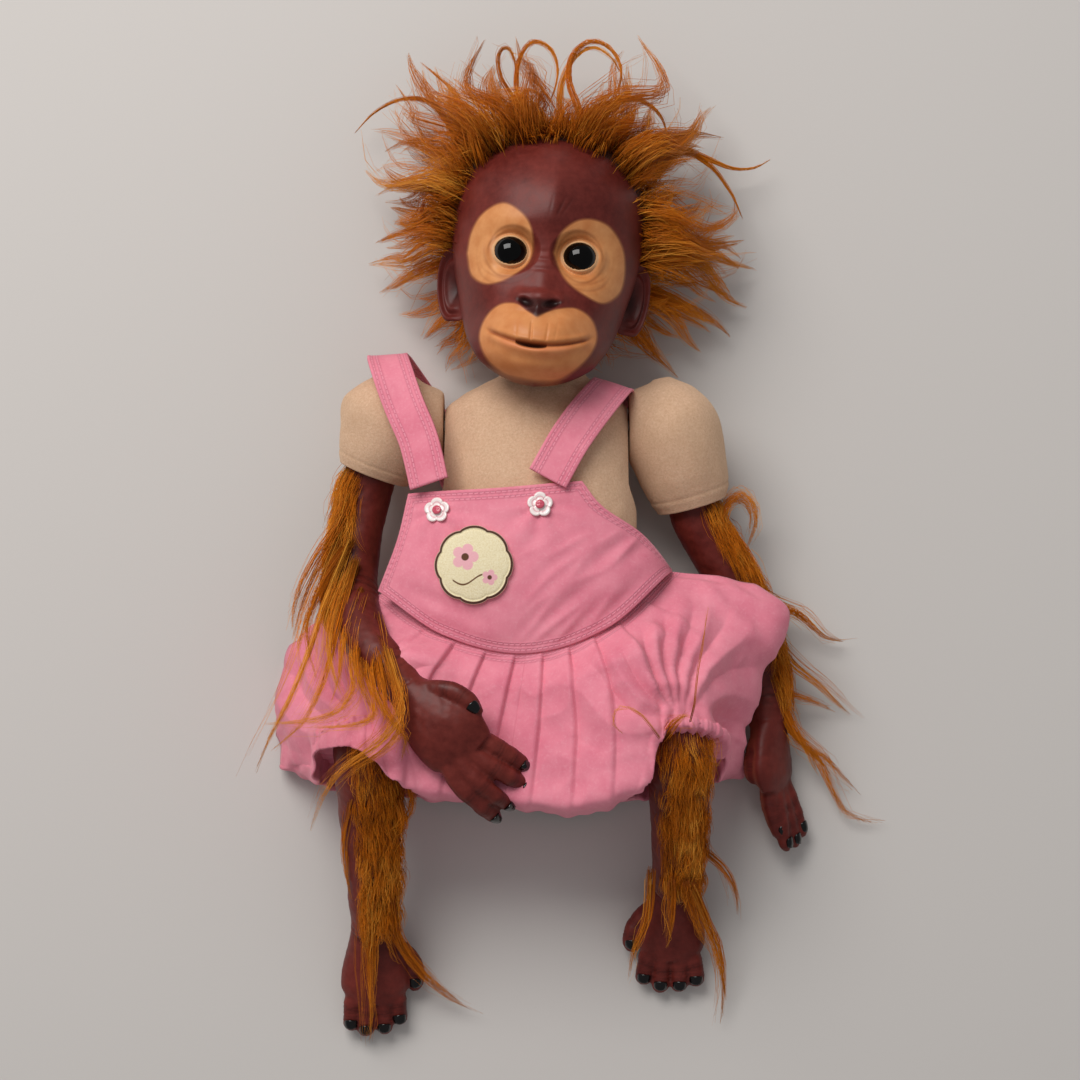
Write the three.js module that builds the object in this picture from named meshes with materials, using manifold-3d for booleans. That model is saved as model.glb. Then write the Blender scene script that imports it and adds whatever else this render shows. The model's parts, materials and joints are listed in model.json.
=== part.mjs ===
// Baby ape doll lying on its back. A stuffed cloth body carries vinyl head, arms and legs on discs
// and tied sleeves, with rooted hair, fur on the limbs and a pink cotton romper.
// Millimetres, +Z up, +Y towards the crown. The doll's right side is at -X.
import * as THREE from 'three';
import * as BufferGeometryUtils from 'three/addons/utils/BufferGeometryUtils.js';
import Module from 'manifold-3d';

const wasm = await Module();
wasm.setup();

const V = (x, y, z) => new THREE.Vector3(x, y, z);

// Driving sizes of the whole doll
const GAP = 0.3;
const CLOTH = 2.2;
const FABRIC_WALL = 3;
const PAST = 400;

// Head, in its own frame: x to the doll's left, y to the crown, z to the face
const HEAD_AT = V(3, 130, 61.2);
const HEAD_ROLL = THREE.MathUtils.degToRad(-5);
const EYE_RADIUS = 9.6;
const EYE_SPREAD = 18.4;
const EYE_HEIGHT = -3;
const EYE_DEPTH = 38;
const EYE_BACK = 3;
const EAR_HEIGHT = -10;
const HAIR_CAP = 4.2;
const HAIR_ROOM = 1.9;
const HAIRLINE_FRONT = 14;
const HAIRLINE_TILT = THREE.MathUtils.degToRad(24);
const NAPE_DROP = 26;
const LOCK_SIDES = 3;
const LOCK_STEPS = 3;
const LOCK_ROOT = 12;

// Neck: a moulded stub with a flange, held in the cloth casing by a tie
const NECK_RADIUS = 12.5;
const HEAD_ROOM = 2.2;
const HEAD_TURN = 32;
const NECK_DEPTH = -18.4;
const NECK_TOP = -44;
const NECK_BOTTOM = -74;
const FLANGE_RADIUS = 15.5;
const FLANGE_HEIGHT = 3;
const TIE_WIDTH = 3.2;
const TIE_THICK = 1.6;
const TIE_LOCK = 4.6;
const TIE_PLAY = 0.45;
const ROUND_SIDES = 12;
const TURN_GAP = 0.2;

// Torso
const TORSO_MIDDLE = -2;
const SHOULDER_HALF = 50.5;
const SHOULDER_AT = V(0, 44, 42);
const HIP_HALF = 50.5;
const HIP_AT = V(0, -92, 40);
const SHOULDER_REACH = 45;
const HIP_REACH = 34;

// Disc joints: stem and disc in the limb, washer disc and lock ring in the torso
const STEM_RADIUS = 3;
const DISC_THICK = 2;
const SHOULDER_DISC = 15;
const HIP_DISC = 15;
const WASHER_RADIUS = 12.5;
const LOCK_RADIUS = 6;
const LOCK_THICK = 1.6;
const STEM_END = 2;

// Vinyl limbs
const STUB_DEPTH = 12;
const GROOVE_DEPTH = 2.2;
const ARM_STUB = 13.5;
const LEG_STUB = 14;
const LEAD_START = 0.9;
const LEAD_LENGTH = 9;

// Romper
const STRAP_WIDTH = 22;
const BIB_LIFT = 1.2;
const PLEATS = 9;
const PLEAT_COLUMNS = 27;
const SKIRT_ROWS = 7;
const PLEAT_DEPTH = 1.8;
const CUFF_RADIUS = 2;
const BUTTON_RADIUS = 7;
const BUTTON_THICK = 2;
const BUTTON_SIDES = 20;
const STUD_RADIUS = 2.4;
const STUD_THICK = 1.2;
const STUD_CROWN = 0.4;
const STUD_SIDES = 10;
const PATCH_RADIUS = 21;
const PATCH_THICK = 2;
const PATCH_CROWN = 1.2;
const PATCH_SIDES = 32;

// Returns column c of the rows at t, by a smooth curve through the rows
function at(rows, t, c) {
  let i = 0;
  while (i < rows.length - 2 && t > rows[i + 1][0]) i += 1;
  const [a, b] = [rows[i], rows[i + 1]];
  const span = b[0] - a[0];
  const u = THREE.MathUtils.clamp((t - a[0]) / span, 0, 1);
  const before = rows[i - 1] ?? a;
  const after = rows[i + 2] ?? b;
  const slopeA = ((b[c] - before[c]) / (b[0] - before[0])) * span;
  const slopeB = ((after[c] - a[c]) / (after[0] - a[0])) * span;
  const u2 = u * u;
  const u3 = u2 * u;
  return (
    (2 * u3 - 3 * u2 + 1) * a[c] +
    (u3 - 2 * u2 + u) * slopeA +
    (3 * u2 - 2 * u3) * b[c] +
    (u3 - u2) * slopeB
  );
}

// Closes a row of rings of points into one skin, with a fan at each end
function skin(rings) {
  const sides = rings[0].length;
  const points = rings.flat();
  const faces = [];
  for (let r = 0; r + 1 < rings.length; r += 1) {
    for (let k = 0; k < sides; k += 1) {
      const a = r * sides + k;
      const b = r * sides + ((k + 1) % sides);
      faces.push(a, b, b + sides, a, b + sides, a + sides);
    }
  }
  for (const [ring, flip] of [[0, true], [rings.length - 1, false]]) {
    const middle = rings[ring].reduce((sum, p) => sum.add(p), V(0, 0, 0)).divideScalar(sides);
    const m = points.push(middle) - 1;
    for (let k = 0; k < sides; k += 1) {
      const a = ring * sides + k;
      const b = ring * sides + ((k + 1) % sides);
      faces.push(...(flip ? [b, a, m] : [a, b, m]));
    }
  }
  return closed(points, faces);
}

// Makes the geometry of a closed skin, turned so that its faces point out
function closed(points, faces) {
  const geometry = new THREE.BufferGeometry();
  geometry.setAttribute('position', new THREE.Float32BufferAttribute(points.flatMap((p) => p.toArray()), 3));
  let volume = 0;
  for (let f = 0; f < faces.length; f += 3) {
    const [a, b, c] = [points[faces[f]], points[faces[f + 1]], points[faces[f + 2]]];
    volume += a.dot(b.clone().cross(c));
  }
  geometry.setIndex(volume < 0 ? faces.reverse() : faces);
  return geometry;
}

// Turns a closed geometry into a solid that can be joined and cut
function solid(geometry) {
  const bare = geometry.clone();
  bare.deleteAttribute('normal');
  bare.deleteAttribute('uv');
  const merged = BufferGeometryUtils.mergeVertices(bare, 1e-4);
  return new wasm.Manifold(
    new wasm.Mesh({
      numProp: 3,
      vertProperties: new Float32Array(merged.attributes.position.array),
      triVerts: new Uint32Array(merged.index.array),
    })
  );
}

// Keeps the largest body of a solid, so that a cut leaves no crumbs
function whole(shape) {
  return shape.decompose().sort((a, b) => b.volume() - a.volume())[0];
}

function geometryOf(shape) {
  const { vertProperties, triVerts, numProp } = shape.getMesh();
  const geometry = new THREE.BufferGeometry();
  const count = vertProperties.length / numProp;
  const position = new Float32Array(count * 3);
  for (let i = 0; i < count; i += 1) {
    position.set(vertProperties.subarray(i * numProp, i * numProp + 3), i * 3);
  }
  geometry.setAttribute('position', new THREE.BufferAttribute(position, 3));
  geometry.setIndex(new THREE.BufferAttribute(new Uint32Array(triVerts), 1));
  return geometry;
}

function union(shapes) {
  return shapes.reduce((sum, shape) => sum.add(shape));
}

// Lofts oval sections along Y: each row is [y, middle x, half width, low z, high z]
function sectionBody(rows, { sides, levels, grow = 0, full = 1, shape = (p) => p }) {
  const low = rows[0][0];
  const high = rows[rows.length - 1][0];
  const rings = [];
  for (let i = 0; i <= levels; i += 1) {
    const u = (1 - Math.cos((Math.PI * (i + 0.35)) / (levels + 0.7))) / 2;
    const t = low + (high - low) * u;
    const middle = at(rows, t, 1);
    const half = Math.max(at(rows, t, 2), 0.5) + grow;
    const zLow = at(rows, t, 3) - grow;
    const zHigh = at(rows, t, 4) + grow;
    const y = t + grow * (2 * u - 1);
    const ring = [];
    for (let k = 0; k < sides; k += 1) {
      const a = (2 * Math.PI * k) / sides;
      const s = Math.sign(Math.sin(a)) * Math.abs(Math.sin(a)) ** full;
      const c = Math.sign(Math.cos(a)) * Math.abs(Math.cos(a)) ** full;
      const z = (zLow + zHigh) / 2 + ((zHigh - zLow) / 2) * c;
      ring.push(shape(V(middle + half * s, y, z)));
    }
    rings.push(ring);
  }
  return skin(rings);
}

// Lofts oval sections along a smooth curve: each stop is [share of the way, half width, half thickness]
function limb(points, stops, { sides = 14, steps = 14, up = V(0, 0, 1), grow = 0 } = {}) {
  const curve = new THREE.CatmullRomCurve3(points, false, 'centripetal');
  const rings = [];
  for (let i = 0; i <= steps; i += 1) {
    const t = (1 - Math.cos((Math.PI * i) / steps)) / 2;
    const tangent = curve.getTangentAt(t).normalize();
    const across = tangent.clone().cross(up).normalize();
    const out = across.clone().cross(tangent).normalize();
    const wide = at(stops, t, 1) + grow;
    const thick = at(stops, t, 2) + grow;
    const middle = curve.getPointAt(t).addScaledVector(tangent, grow * (2 * t - 1));
    const ring = [];
    for (let k = 0; k < sides; k += 1) {
      const a = (2 * Math.PI * k) / sides;
      const p = middle.clone().addScaledVector(across, wide * Math.cos(a));
      ring.push(p.addScaledVector(out, thick * Math.sin(a)));
    }
    rings.push(ring);
  }
  return skin(rings);
}

// Round bar from one point to another
function bar(from, to, radius, sides = ROUND_SIDES) {
  const along = to.clone().sub(from);
  const geometry = new THREE.CylinderGeometry(radius, radius, along.length(), sides);
  const turn = new THREE.Quaternion().setFromUnitVectors(V(0, 1, 0), along.clone().normalize());
  geometry.applyQuaternion(turn);
  const middle = from.clone().add(to).divideScalar(2);
  return geometry.translate(middle.x, middle.y, middle.z);
}

function block(low, high) {
  const size = high.clone().sub(low);
  const middle = high.clone().add(low).divideScalar(2);
  return new THREE.BoxGeometry(size.x, size.y, size.z).translate(middle.x, middle.y, middle.z);
}

// Everything below a height, and everything on the middle side of a plane beside the torso
const below = (z) => solid(block(V(-PAST, -PAST, -PAST), V(PAST, PAST, z)));

function towardsMiddle(side, plane) {
  const far = plane - side * PAST;
  return solid(block(V(Math.min(plane, far), -PAST, -PAST), V(Math.max(plane, far), PAST, PAST)));
}

// Radius of a many-sided hole that a round bar of the same number of sides can turn in
const turning = (radius) => (radius + TURN_GAP) / Math.cos(Math.PI / ROUND_SIDES);

// Ring of flat strap round an axis, with the small lock block of a cable tie
function tie(centre, axis, inner) {
  const outline = [
    new THREE.Vector2(inner, -TIE_WIDTH / 2),
    new THREE.Vector2(inner + TIE_THICK, -TIE_WIDTH / 2),
    new THREE.Vector2(inner + TIE_THICK, TIE_WIDTH / 2),
    new THREE.Vector2(inner, TIE_WIDTH / 2),
    new THREE.Vector2(inner, -TIE_WIDTH / 2),
  ];
  const ring = solid(new THREE.LatheGeometry(outline, ROUND_SIDES));
  const lock = block(
    V(inner + TIE_THICK / 4, -TIE_LOCK / 2, -TIE_LOCK / 2),
    V(inner + TIE_THICK * 1.6, TIE_LOCK / 2, TIE_LOCK / 2)
  );
  const turn = new THREE.Quaternion().setFromUnitVectors(V(0, 1, 0), axis);
  const geometry = geometryOf(ring.add(solid(lock)));
  return geometry.applyQuaternion(turn).translate(centre.x, centre.y, centre.z);
}

// Room round a tie, cut in the cloth
function tieRoom(centre, axis, inner) {
  const half = TIE_LOCK / 2 + GAP;
  const from = centre.clone().addScaledVector(axis, -half);
  const to = centre.clone().addScaledVector(axis, half);
  return solid(bar(from, to, inner + TIE_THICK * 2 + GAP));
}

// Head form: rows of the profile, then the muzzle, nose, brow and eye hollows pushed in or out
const HEAD_ROWS = [
  [-73, 0, 0, 28, 34],
  [-70, 0, 15, 16, 46],
  [-62, 0, 29, 6, 53],
  [-54, 0, 35, -4, 55],
  [-47, 0, 38.5, -16, 55],
  [-38, 0, 41.5, -34, 53],
  [-25, 0, 45, -46, 51],
  [-5, 0, 50, -54, 50],
  [15, 0, 53, -57.5, 51],
  [35, 0, 52, -56, 48],
  [52, 0, 45, -48, 38],
  [64, 0, 31, -33, 24],
  [71, 0, 15, -15, 8],
  [74, 0, 0, -3, -1],
];

const bell = (x, y, wide, high) => Math.exp(-((x / wide) ** 2) - (y / high) ** 2);

// Features of the face: [x, y, half width, half height, how far out]
const FACE = [
  [0, -56, 26, 14, 9],
  [-12, -48, 11, 8, 2.5],
  [12, -48, 11, 8, 2.5],
  [0, -67, 18, 7, 3],
  [0, -36, 9, 6, 5],
  [0, -22, 6, 12, 1.6],
  [-EYE_SPREAD, 12, 14, 5, 2.2],
  [EYE_SPREAD, 12, 14, 5, 2.2],
  [-EYE_SPREAD, EYE_HEIGHT, 13, 12, -4],
  [EYE_SPREAD, EYE_HEIGHT, 13, 12, -4],
  [-30, -22, 11, 10, 2.5],
  [30, -22, 11, 10, 2.5],
];

function faceShape(p) {
  const front = THREE.MathUtils.smoothstep(p.z, 5, 30);
  const push = FACE.reduce((sum, [x, y, w, h, out]) => sum + out * bell(p.x - x, p.y - y, w, h), 0);
  return V(p.x, p.y, p.z + push * front);
}

function headForm(grow, sides = 24, levels = 17) {
  return solid(sectionBody(HEAD_ROWS, { sides, levels, grow, shape: faceShape }));
}

// Ear: a flat leaf with a hollow, set on the side of the head
function ear(side) {
  const lobe = V(side * 46, EAR_HEIGHT - 17, 0);
  const tip = V(side * 50, EAR_HEIGHT + 17, -1);
  const leaf = limb([lobe, V(side * 53, EAR_HEIGHT, -2), tip], [[0, 1.5, 1.5], [0.25, 5, 3.5], [0.6, 8, 4.2], [1, 2, 2]], {
    sides: 8,
    steps: 6,
    up: V(side, 0, 0.35),
  });
  const hollow = new THREE.SphereGeometry(5, 8, 6);
  hollow.scale(0.7, 1.6, 1).translate(side * 57, EAR_HEIGHT + 1, 3.5);
  return solid(leaf).subtract(solid(hollow));
}

function neckParts() {
  const top = V(0, NECK_TOP, NECK_DEPTH);
  const bottom = V(0, NECK_BOTTOM, NECK_DEPTH);
  const flangeTop = V(0, NECK_BOTTOM + FLANGE_HEIGHT, NECK_DEPTH);
  const tieAt = V(0, NECK_BOTTOM + FLANGE_HEIGHT + TIE_LOCK / 2 + TIE_PLAY, NECK_DEPTH);
  const up = V(0, 1, 0);
  const stub = union([solid(bar(bottom, top, NECK_RADIUS)), solid(bar(bottom, flangeTop, FLANGE_RADIUS))]);
  const roomBottom = V(0, NECK_BOTTOM - GAP, NECK_DEPTH);
  const roomTop = V(0, NECK_TOP + 20, NECK_DEPTH);
  const flangeRoom = V(0, NECK_BOTTOM + FLANGE_HEIGHT + GAP, NECK_DEPTH);
  const room = union([
    solid(bar(roomBottom, roomTop, turning(NECK_RADIUS))),
    solid(bar(roomBottom, flangeRoom, turning(FLANGE_RADIUS))),
    tieRoom(tieAt, up, turning(NECK_RADIUS)),
  ]);
  return { stub, room, tie: tie(tieAt, up, turning(NECK_RADIUS)) };
}

function eyePocket(side) {
  const pocket = new THREE.SphereGeometry(EYE_RADIUS + GAP, 12, 8);
  return solid(pocket.translate(side * EYE_SPREAD, EYE_HEIGHT, EYE_DEPTH));
}

// Eye: a domed half ball with a flat back
function eye(side) {
  const ball = new THREE.SphereGeometry(EYE_RADIUS, 12, 8);
  const shape = solid(ball).subtract(below(-EYE_BACK));
  return geometryOf(shape).translate(side * EYE_SPREAD, EYE_HEIGHT, EYE_DEPTH);
}

const neck = neckParts();

function headShell() {
  const head = union([headForm(0), ear(-1), ear(1), neck.stub]);
  return geometryOf(whole(head.subtract(eyePocket(-1)).subtract(eyePocket(1))));
}

// One lock of hair: a tapered strand bundle from its root to its tip, bent on the way
function lock(root, tip, bend, width = LOCK_ROOT) {
  const middle = root.clone().lerp(tip, 0.5).add(bend);
  const stops = [[0, width, width * 0.5], [0.5, width * 0.62, width * 0.3], [1, 0.35, 0.35]];
  return solid(
    limb([root, middle, tip], stops, { sides: LOCK_SIDES, steps: LOCK_STEPS, up: V(0.1, 0.05, 1) })
  );
}

// Tips of the hair round the head: [degrees from the crown to the doll's left, reach, height]
const HAIR_FAN = [
  [-126, 82, -30],
  [-116, 92, -34],
  [-106, 98, -40],
  [-95, 94, -22],
  [-86, 99, -40],
  [-77, 104, -28],
  [-68, 110, -42],
  [-59, 118, -26],
  [-50, 124, -40],
  [-41, 127, -18],
  [-33, 118, -36],
  [-25, 120, -20],
  [-17, 128, -34],
  [-9, 119, -12],
  [0, 124, -30],
  [8, 116, -14],
  [17, 121, -34],
  [25, 132, -20],
  [33, 116, -36],
  [42, 122, -16],
  [50, 128, -38],
  [57, 140, -26],
  [66, 124, -42],
  [75, 118, -20],
  [84, 122, -40],
  [93, 112, -26],
  [102, 117, -44],
  [111, 106, -30],
  [119, 96, -40],
  [127, 84, -32],
];
const FAN_MIDDLE = 8;
const FAN_ROOT_WIDE = 44;
const FAN_ROOT_HIGH = 54;
const FAN_ROOT_DEPTH = -14;

function hairLocks() {
  return HAIR_FAN.flatMap(([degrees, reach, height], i) => {
    const a = THREE.MathUtils.degToRad(degrees);
    const [s, c] = [Math.sin(a), Math.cos(a)];
    const lift = i % 2 === 0 ? 8 : -8;
    const root = V(s * FAN_ROOT_WIDE, FAN_MIDDLE + c * FAN_ROOT_HIGH, FAN_ROOT_DEPTH + lift / 2);
    const tip = V(s * reach, FAN_MIDDLE + c * reach, height);
    return [lock(root, tip, V(-c * 4, s * 4, 14 + lift))];
  });
}

// Hair: a cap over the back of the skull, cut at the hairline, with the locks standing off it
function hair() {
  const front = block(V(-PAST, -PAST, 0), V(PAST, PAST, PAST));
  const cut = solid(front.rotateX(-HAIRLINE_TILT).translate(0, 0, HAIRLINE_FRONT));
  const nape = solid(block(V(-PAST, -PAST, -PAST), V(PAST, EAR_HEIGHT - NAPE_DROP, PAST)));
  const ears = union([-1, 1].map((side) => {
    const room = new THREE.SphereGeometry(1, 10, 8).scale(13, 22, 11);
    return solid(room.translate(side * 53, EAR_HEIGHT, 0));
  }));
  const cap = headForm(HAIR_CAP, 18, 12).subtract(cut).subtract(nape);
  const tufts = union([cap, ...hairLocks()]);
  const clear = tufts.subtract(headForm(HAIR_ROOM, 16, 11)).subtract(ears).subtract(below(-HEAD_AT.z));
  return geometryOf(whole(clear));
}

// Torso: rows of the stuffed body, from the seat to the neck casing
const TORSO_ROWS = [
  [-124, TORSO_MIDDLE, 0, 30, 36],
  [-118, TORSO_MIDDLE, 34, 10, 56],
  [-100, TORSO_MIDDLE, 51, 3, 74],
  [-75, TORSO_MIDDLE, 56, 2, 86],
  [-40, TORSO_MIDDLE, 58, 2, 92],
  [0, TORSO_MIDDLE, 55, 2, 89],
  [30, TORSO_MIDDLE, 53, 2, 83],
  [50, TORSO_MIDDLE, 52, 4, 75],
  [57, TORSO_MIDDLE, 47, 7, 70],
  [62, TORSO_MIDDLE + 1, 40, 10, 67],
  [67, TORSO_MIDDLE + 2, 31, 14, 64],
  [71, TORSO_MIDDLE + 4, 24, 17, 63],
  [79, TORSO_MIDDLE + 5, 20, 20, 64],
  [85, TORSO_MIDDLE + 5, 15, 24, 60],
  [88, TORSO_MIDDLE + 5, 0, 40, 44],
];

const headFrame = new THREE.Matrix4().compose(
  HEAD_AT,
  new THREE.Quaternion().setFromAxisAngle(V(0, 0, 1), HEAD_ROLL),
  V(1, 1, 1)
);

// The head turned about its neck
function turnedHead(degrees) {
  const turn = new THREE.Matrix4().makeRotationY(THREE.MathUtils.degToRad(degrees));
  const toNeck = new THREE.Matrix4().makeTranslation(0, 0, NECK_DEPTH);
  const spin = toNeck.clone().multiply(turn).multiply(toNeck.clone().invert());
  return solid(geometryOf(headForm(HEAD_ROOM, 12, 9)).applyMatrix4(spin).applyMatrix4(headFrame));
}

// The two pieces of a joint on a lateral stem, and the rooms that they need on either side
function discJoint(side, middle, half, place, discRadius) {
  const out = (d) => V(middle + side * (half + d), place.y, place.z);
  const face = GAP + FABRIC_WALL;
  const inside = -FABRIC_WALL - GAP;
  const stud = union([
    solid(bar(out(face + DISC_THICK), out(face), discRadius, 12)),
    solid(bar(out(face + 0.5), out(inside - DISC_THICK - LOCK_THICK - 2 * GAP - STEM_END), STEM_RADIUS, 10)),
  ]);
  const ring = (radius, from, thick) => {
    const disc = solid(bar(out(from), out(from - thick), radius, 12));
    return disc.subtract(solid(bar(out(from + 1), out(from - thick - 1), STEM_RADIUS + GAP, 10)));
  };
  const washer = ring(WASHER_RADIUS, inside, DISC_THICK);
  const lockRing = ring(LOCK_RADIUS, inside - DISC_THICK - GAP, LOCK_THICK);
  const limbRoom = union([
    solid(bar(out(face + DISC_THICK + GAP), out(face - GAP), discRadius + GAP, 12)),
    solid(bar(out(face), out(-1), STEM_RADIUS + GAP, 10)),
  ]);
  const deep = inside - DISC_THICK - GAP;
  const torsoRoom = union([
    solid(bar(out(inside + GAP), out(deep), WASHER_RADIUS + GAP, 12)),
    solid(bar(out(deep + 0.5), out(deep - LOCK_THICK - GAP), LOCK_RADIUS + GAP, 12)),
    solid(bar(out(1), out(deep - LOCK_THICK - 2 * GAP - STEM_END), STEM_RADIUS + GAP, 10)),
  ]);
  const pieces = { stud: geometryOf(stud), washer: geometryOf(washer), lock: geometryOf(lockRing) };
  return { ...pieces, limbRoom, torsoRoom };
}

const SIDES = { right: -1, left: 1 };
const joints = {};
for (const [name, side] of Object.entries(SIDES)) {
  joints[`${name}_shoulder`] = discJoint(side, TORSO_MIDDLE, SHOULDER_HALF, SHOULDER_AT, SHOULDER_DISC);
  joints[`${name}_hip`] = discJoint(side, TORSO_MIDDLE, HIP_HALF, HIP_AT, HIP_DISC);
}

// Room that a limb turns in, beyond the flat face where it meets the torso
function jointFace(side, half, place, reach) {
  const near = V(TORSO_MIDDLE + side * half, place.y, place.z);
  const far = V(TORSO_MIDDLE + side * (half + 40), place.y, place.z);
  return solid(bar(near, far, reach, 20));
}

function torsoForm(grow = 0) {
  return solid(sectionBody(TORSO_ROWS, { sides: 20, levels: 13, grow, full: 0.9 }));
}

function torso() {
  let shape = torsoForm();
  for (const side of Object.values(SIDES)) {
    shape = shape.subtract(jointFace(side, SHOULDER_HALF, SHOULDER_AT, SHOULDER_REACH));
    shape = shape.subtract(jointFace(side, HIP_HALF, HIP_AT, HIP_REACH));
  }
  for (const joint of Object.values(joints)) shape = shape.subtract(joint.torsoRoom);
  for (const share of [-1, 0, 1]) shape = shape.subtract(turnedHead(share * HEAD_TURN));
  shape = shape.subtract(solid(geometryOf(neck.room).applyMatrix4(headFrame)));
  return geometryOf(whole(shape.subtract(below(CLOTH + GAP))));
}

// Arms: the cloth sleeve's line, the vinyl arm's line and the fingers of each side
const ARMS = {
  right: {
    sleeve: [V(-74, 73, 43), V(-80, 50, 42), V(-92, 19, 35)],
    sleeveWidth: [[0, 5, 5], [0.12, 18, 17], [0.38, 29, 27], [0.72, 26, 25], [1, 20, 19.5]],
    arm: [V(-103, -40, 37), V(-93, -76, 78), V(-69, -105, 99)],
    palm: [V(-69, -105, 99), V(-53, -123, 106), V(-35, -138, 105)],
    back: V(0.1, -0.35, 1),
    fingers: [
      [V(-33, -129, 104), V(-18, -137, 101), V(-5, -145, 91)],
      [V(-35, -138, 105), V(-19, -148, 101), V(-5, -155, 88)],
      [V(-39, -145, 105), V(-25, -158, 100), V(-14, -165, 86)],
      [V(-45, -149, 103), V(-33, -162, 98), V(-21, -172, 84)],
    ],
    thumb: [V(-60, -105, 104), V(-44, -106, 111), V(-30, -117, 110)],
  },
  left: {
    sleeve: [V(67, 70, 43), V(73, 40, 42), V(84, 2, 33)],
    sleeveWidth: [[0, 5, 5], [0.12, 17, 17], [0.36, 27, 27], [0.72, 25, 25], [1, 20, 19.5]],
    arm: [V(110, -48, 22), V(122, -86, 20), V(126, -118, 20)],
    palm: [V(126, -118, 20), V(128, -136, 19), V(130, -156, 17)],
    back: V(0.9, 0, 0.5),
    fingers: [
      [V(126, -151, 21), V(128, -170, 20), V(134, -183, 16)],
      [V(129, -153, 18), V(133, -174, 18), V(137, -190, 14)],
      [V(132, -154, 14), V(138, -173, 13), V(142, -188, 10)],
      [V(135, -152, 10), V(142, -169, 9), V(146, -182, 8)],
    ],
    thumb: [V(121, -128, 25), V(117, -140, 27), V(118, -153, 26)],
  },
};
const PALM_WIDTH = [[0, 11, 9.5], [0.35, 17, 9], [0.75, 20, 8], [1, 15, 5]];
const ARM_WIDTH = [[0, 13.5, 13.5], [0.3, 13.5, 13], [0.5, 14, 13.5], [0.75, 12.5, 11.5], [1, 11, 9.5]];
const FINGER_WIDTH = [[0, 5, 5], [0.45, 4.6, 4.4], [0.85, 4.2, 4], [1, 2.2, 2.2]];
const THUMB_WIDTH = [[0, 6, 5], [0.6, 5, 4.6], [1, 2.4, 2.4]];

// The straight seat of a vinyl limb in its cloth: stub, groove, tie, and the room for them
function tiedSeat(mouth, inward, radius) {
  const p = (d) => mouth.clone().addScaledVector(inward, d);
  const tieAt = p(STUB_DEPTH - FLANGE_HEIGHT - TIE_LOCK / 2 - TIE_PLAY);
  const stub = union([
    solid(bar(p(-2), p(STUB_DEPTH), radius - GROOVE_DEPTH)),
    solid(bar(p(STUB_DEPTH - FLANGE_HEIGHT), p(STUB_DEPTH), radius)),
  ]);
  const room = union([
    solid(bar(p(-4), p(STUB_DEPTH + GAP), turning(radius - GROOVE_DEPTH))),
    solid(bar(p(STUB_DEPTH - FLANGE_HEIGHT - GAP), p(STUB_DEPTH + GAP), turning(radius))),
    tieRoom(tieAt, inward, turning(radius - GROOVE_DEPTH)),
  ]);
  return { stub, room, tie: tie(tieAt, inward, turning(radius - GROOVE_DEPTH)) };
}

// The way out of the cloth at the end of its line
function mouthOf(line) {
  const mouth = line[line.length - 1].clone();
  const curve = new THREE.CatmullRomCurve3(line, false, 'centripetal');
  return { mouth, inward: curve.getTangentAt(1).normalize().negate() };
}

function handForm(arm, grow = 0) {
  const parts = [limb(arm.palm, PALM_WIDTH, { sides: 8, steps: 6, up: arm.back, grow })];
  for (const finger of arm.fingers) {
    parts.push(limb(finger, FINGER_WIDTH, { sides: 5, steps: 4, up: arm.back, grow }));
  }
  parts.push(limb(arm.thumb, THUMB_WIDTH, { sides: 5, steps: 4, up: arm.back, grow }));
  return union(parts.map(solid));
}

// A vinyl limb leaves its cloth in a straight line, then follows its own
function limbLine(cloth, own) {
  const { mouth, inward } = mouthOf(cloth);
  const out = (d) => mouth.clone().addScaledVector(inward, -d);
  return [out(LEAD_START), out(LEAD_START + LEAD_LENGTH / 2), out(LEAD_START + LEAD_LENGTH), ...own];
}

function armForm(arm, grow = 0) {
  return solid(limb(limbLine(arm.sleeve, arm.arm), ARM_WIDTH, { sides: 10, steps: 11, grow }));
}

function armPieces(name) {
  const arm = ARMS[name];
  const side = SIDES[name];
  const { mouth, inward } = mouthOf(arm.sleeve);
  const seat = tiedSeat(mouth, inward, ARM_STUB);
  const joint = joints[`${name}_shoulder`];
  const inner = TORSO_MIDDLE + side * (SHOULDER_HALF + GAP);
  const cloth = solid(limb(arm.sleeve, arm.sleeveWidth, { sides: 12, steps: 9 }));
  const outside = cloth.subtract(towardsMiddle(side, inner));
  const sleeve = whole(outside.subtract(joint.limbRoom).subtract(seat.room));
  const vinyl = whole(union([armForm(arm), seat.stub, handForm(arm)]));
  return { sleeve: geometryOf(sleeve), vinyl: geometryOf(vinyl), tie: seat.tie };
}

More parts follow.
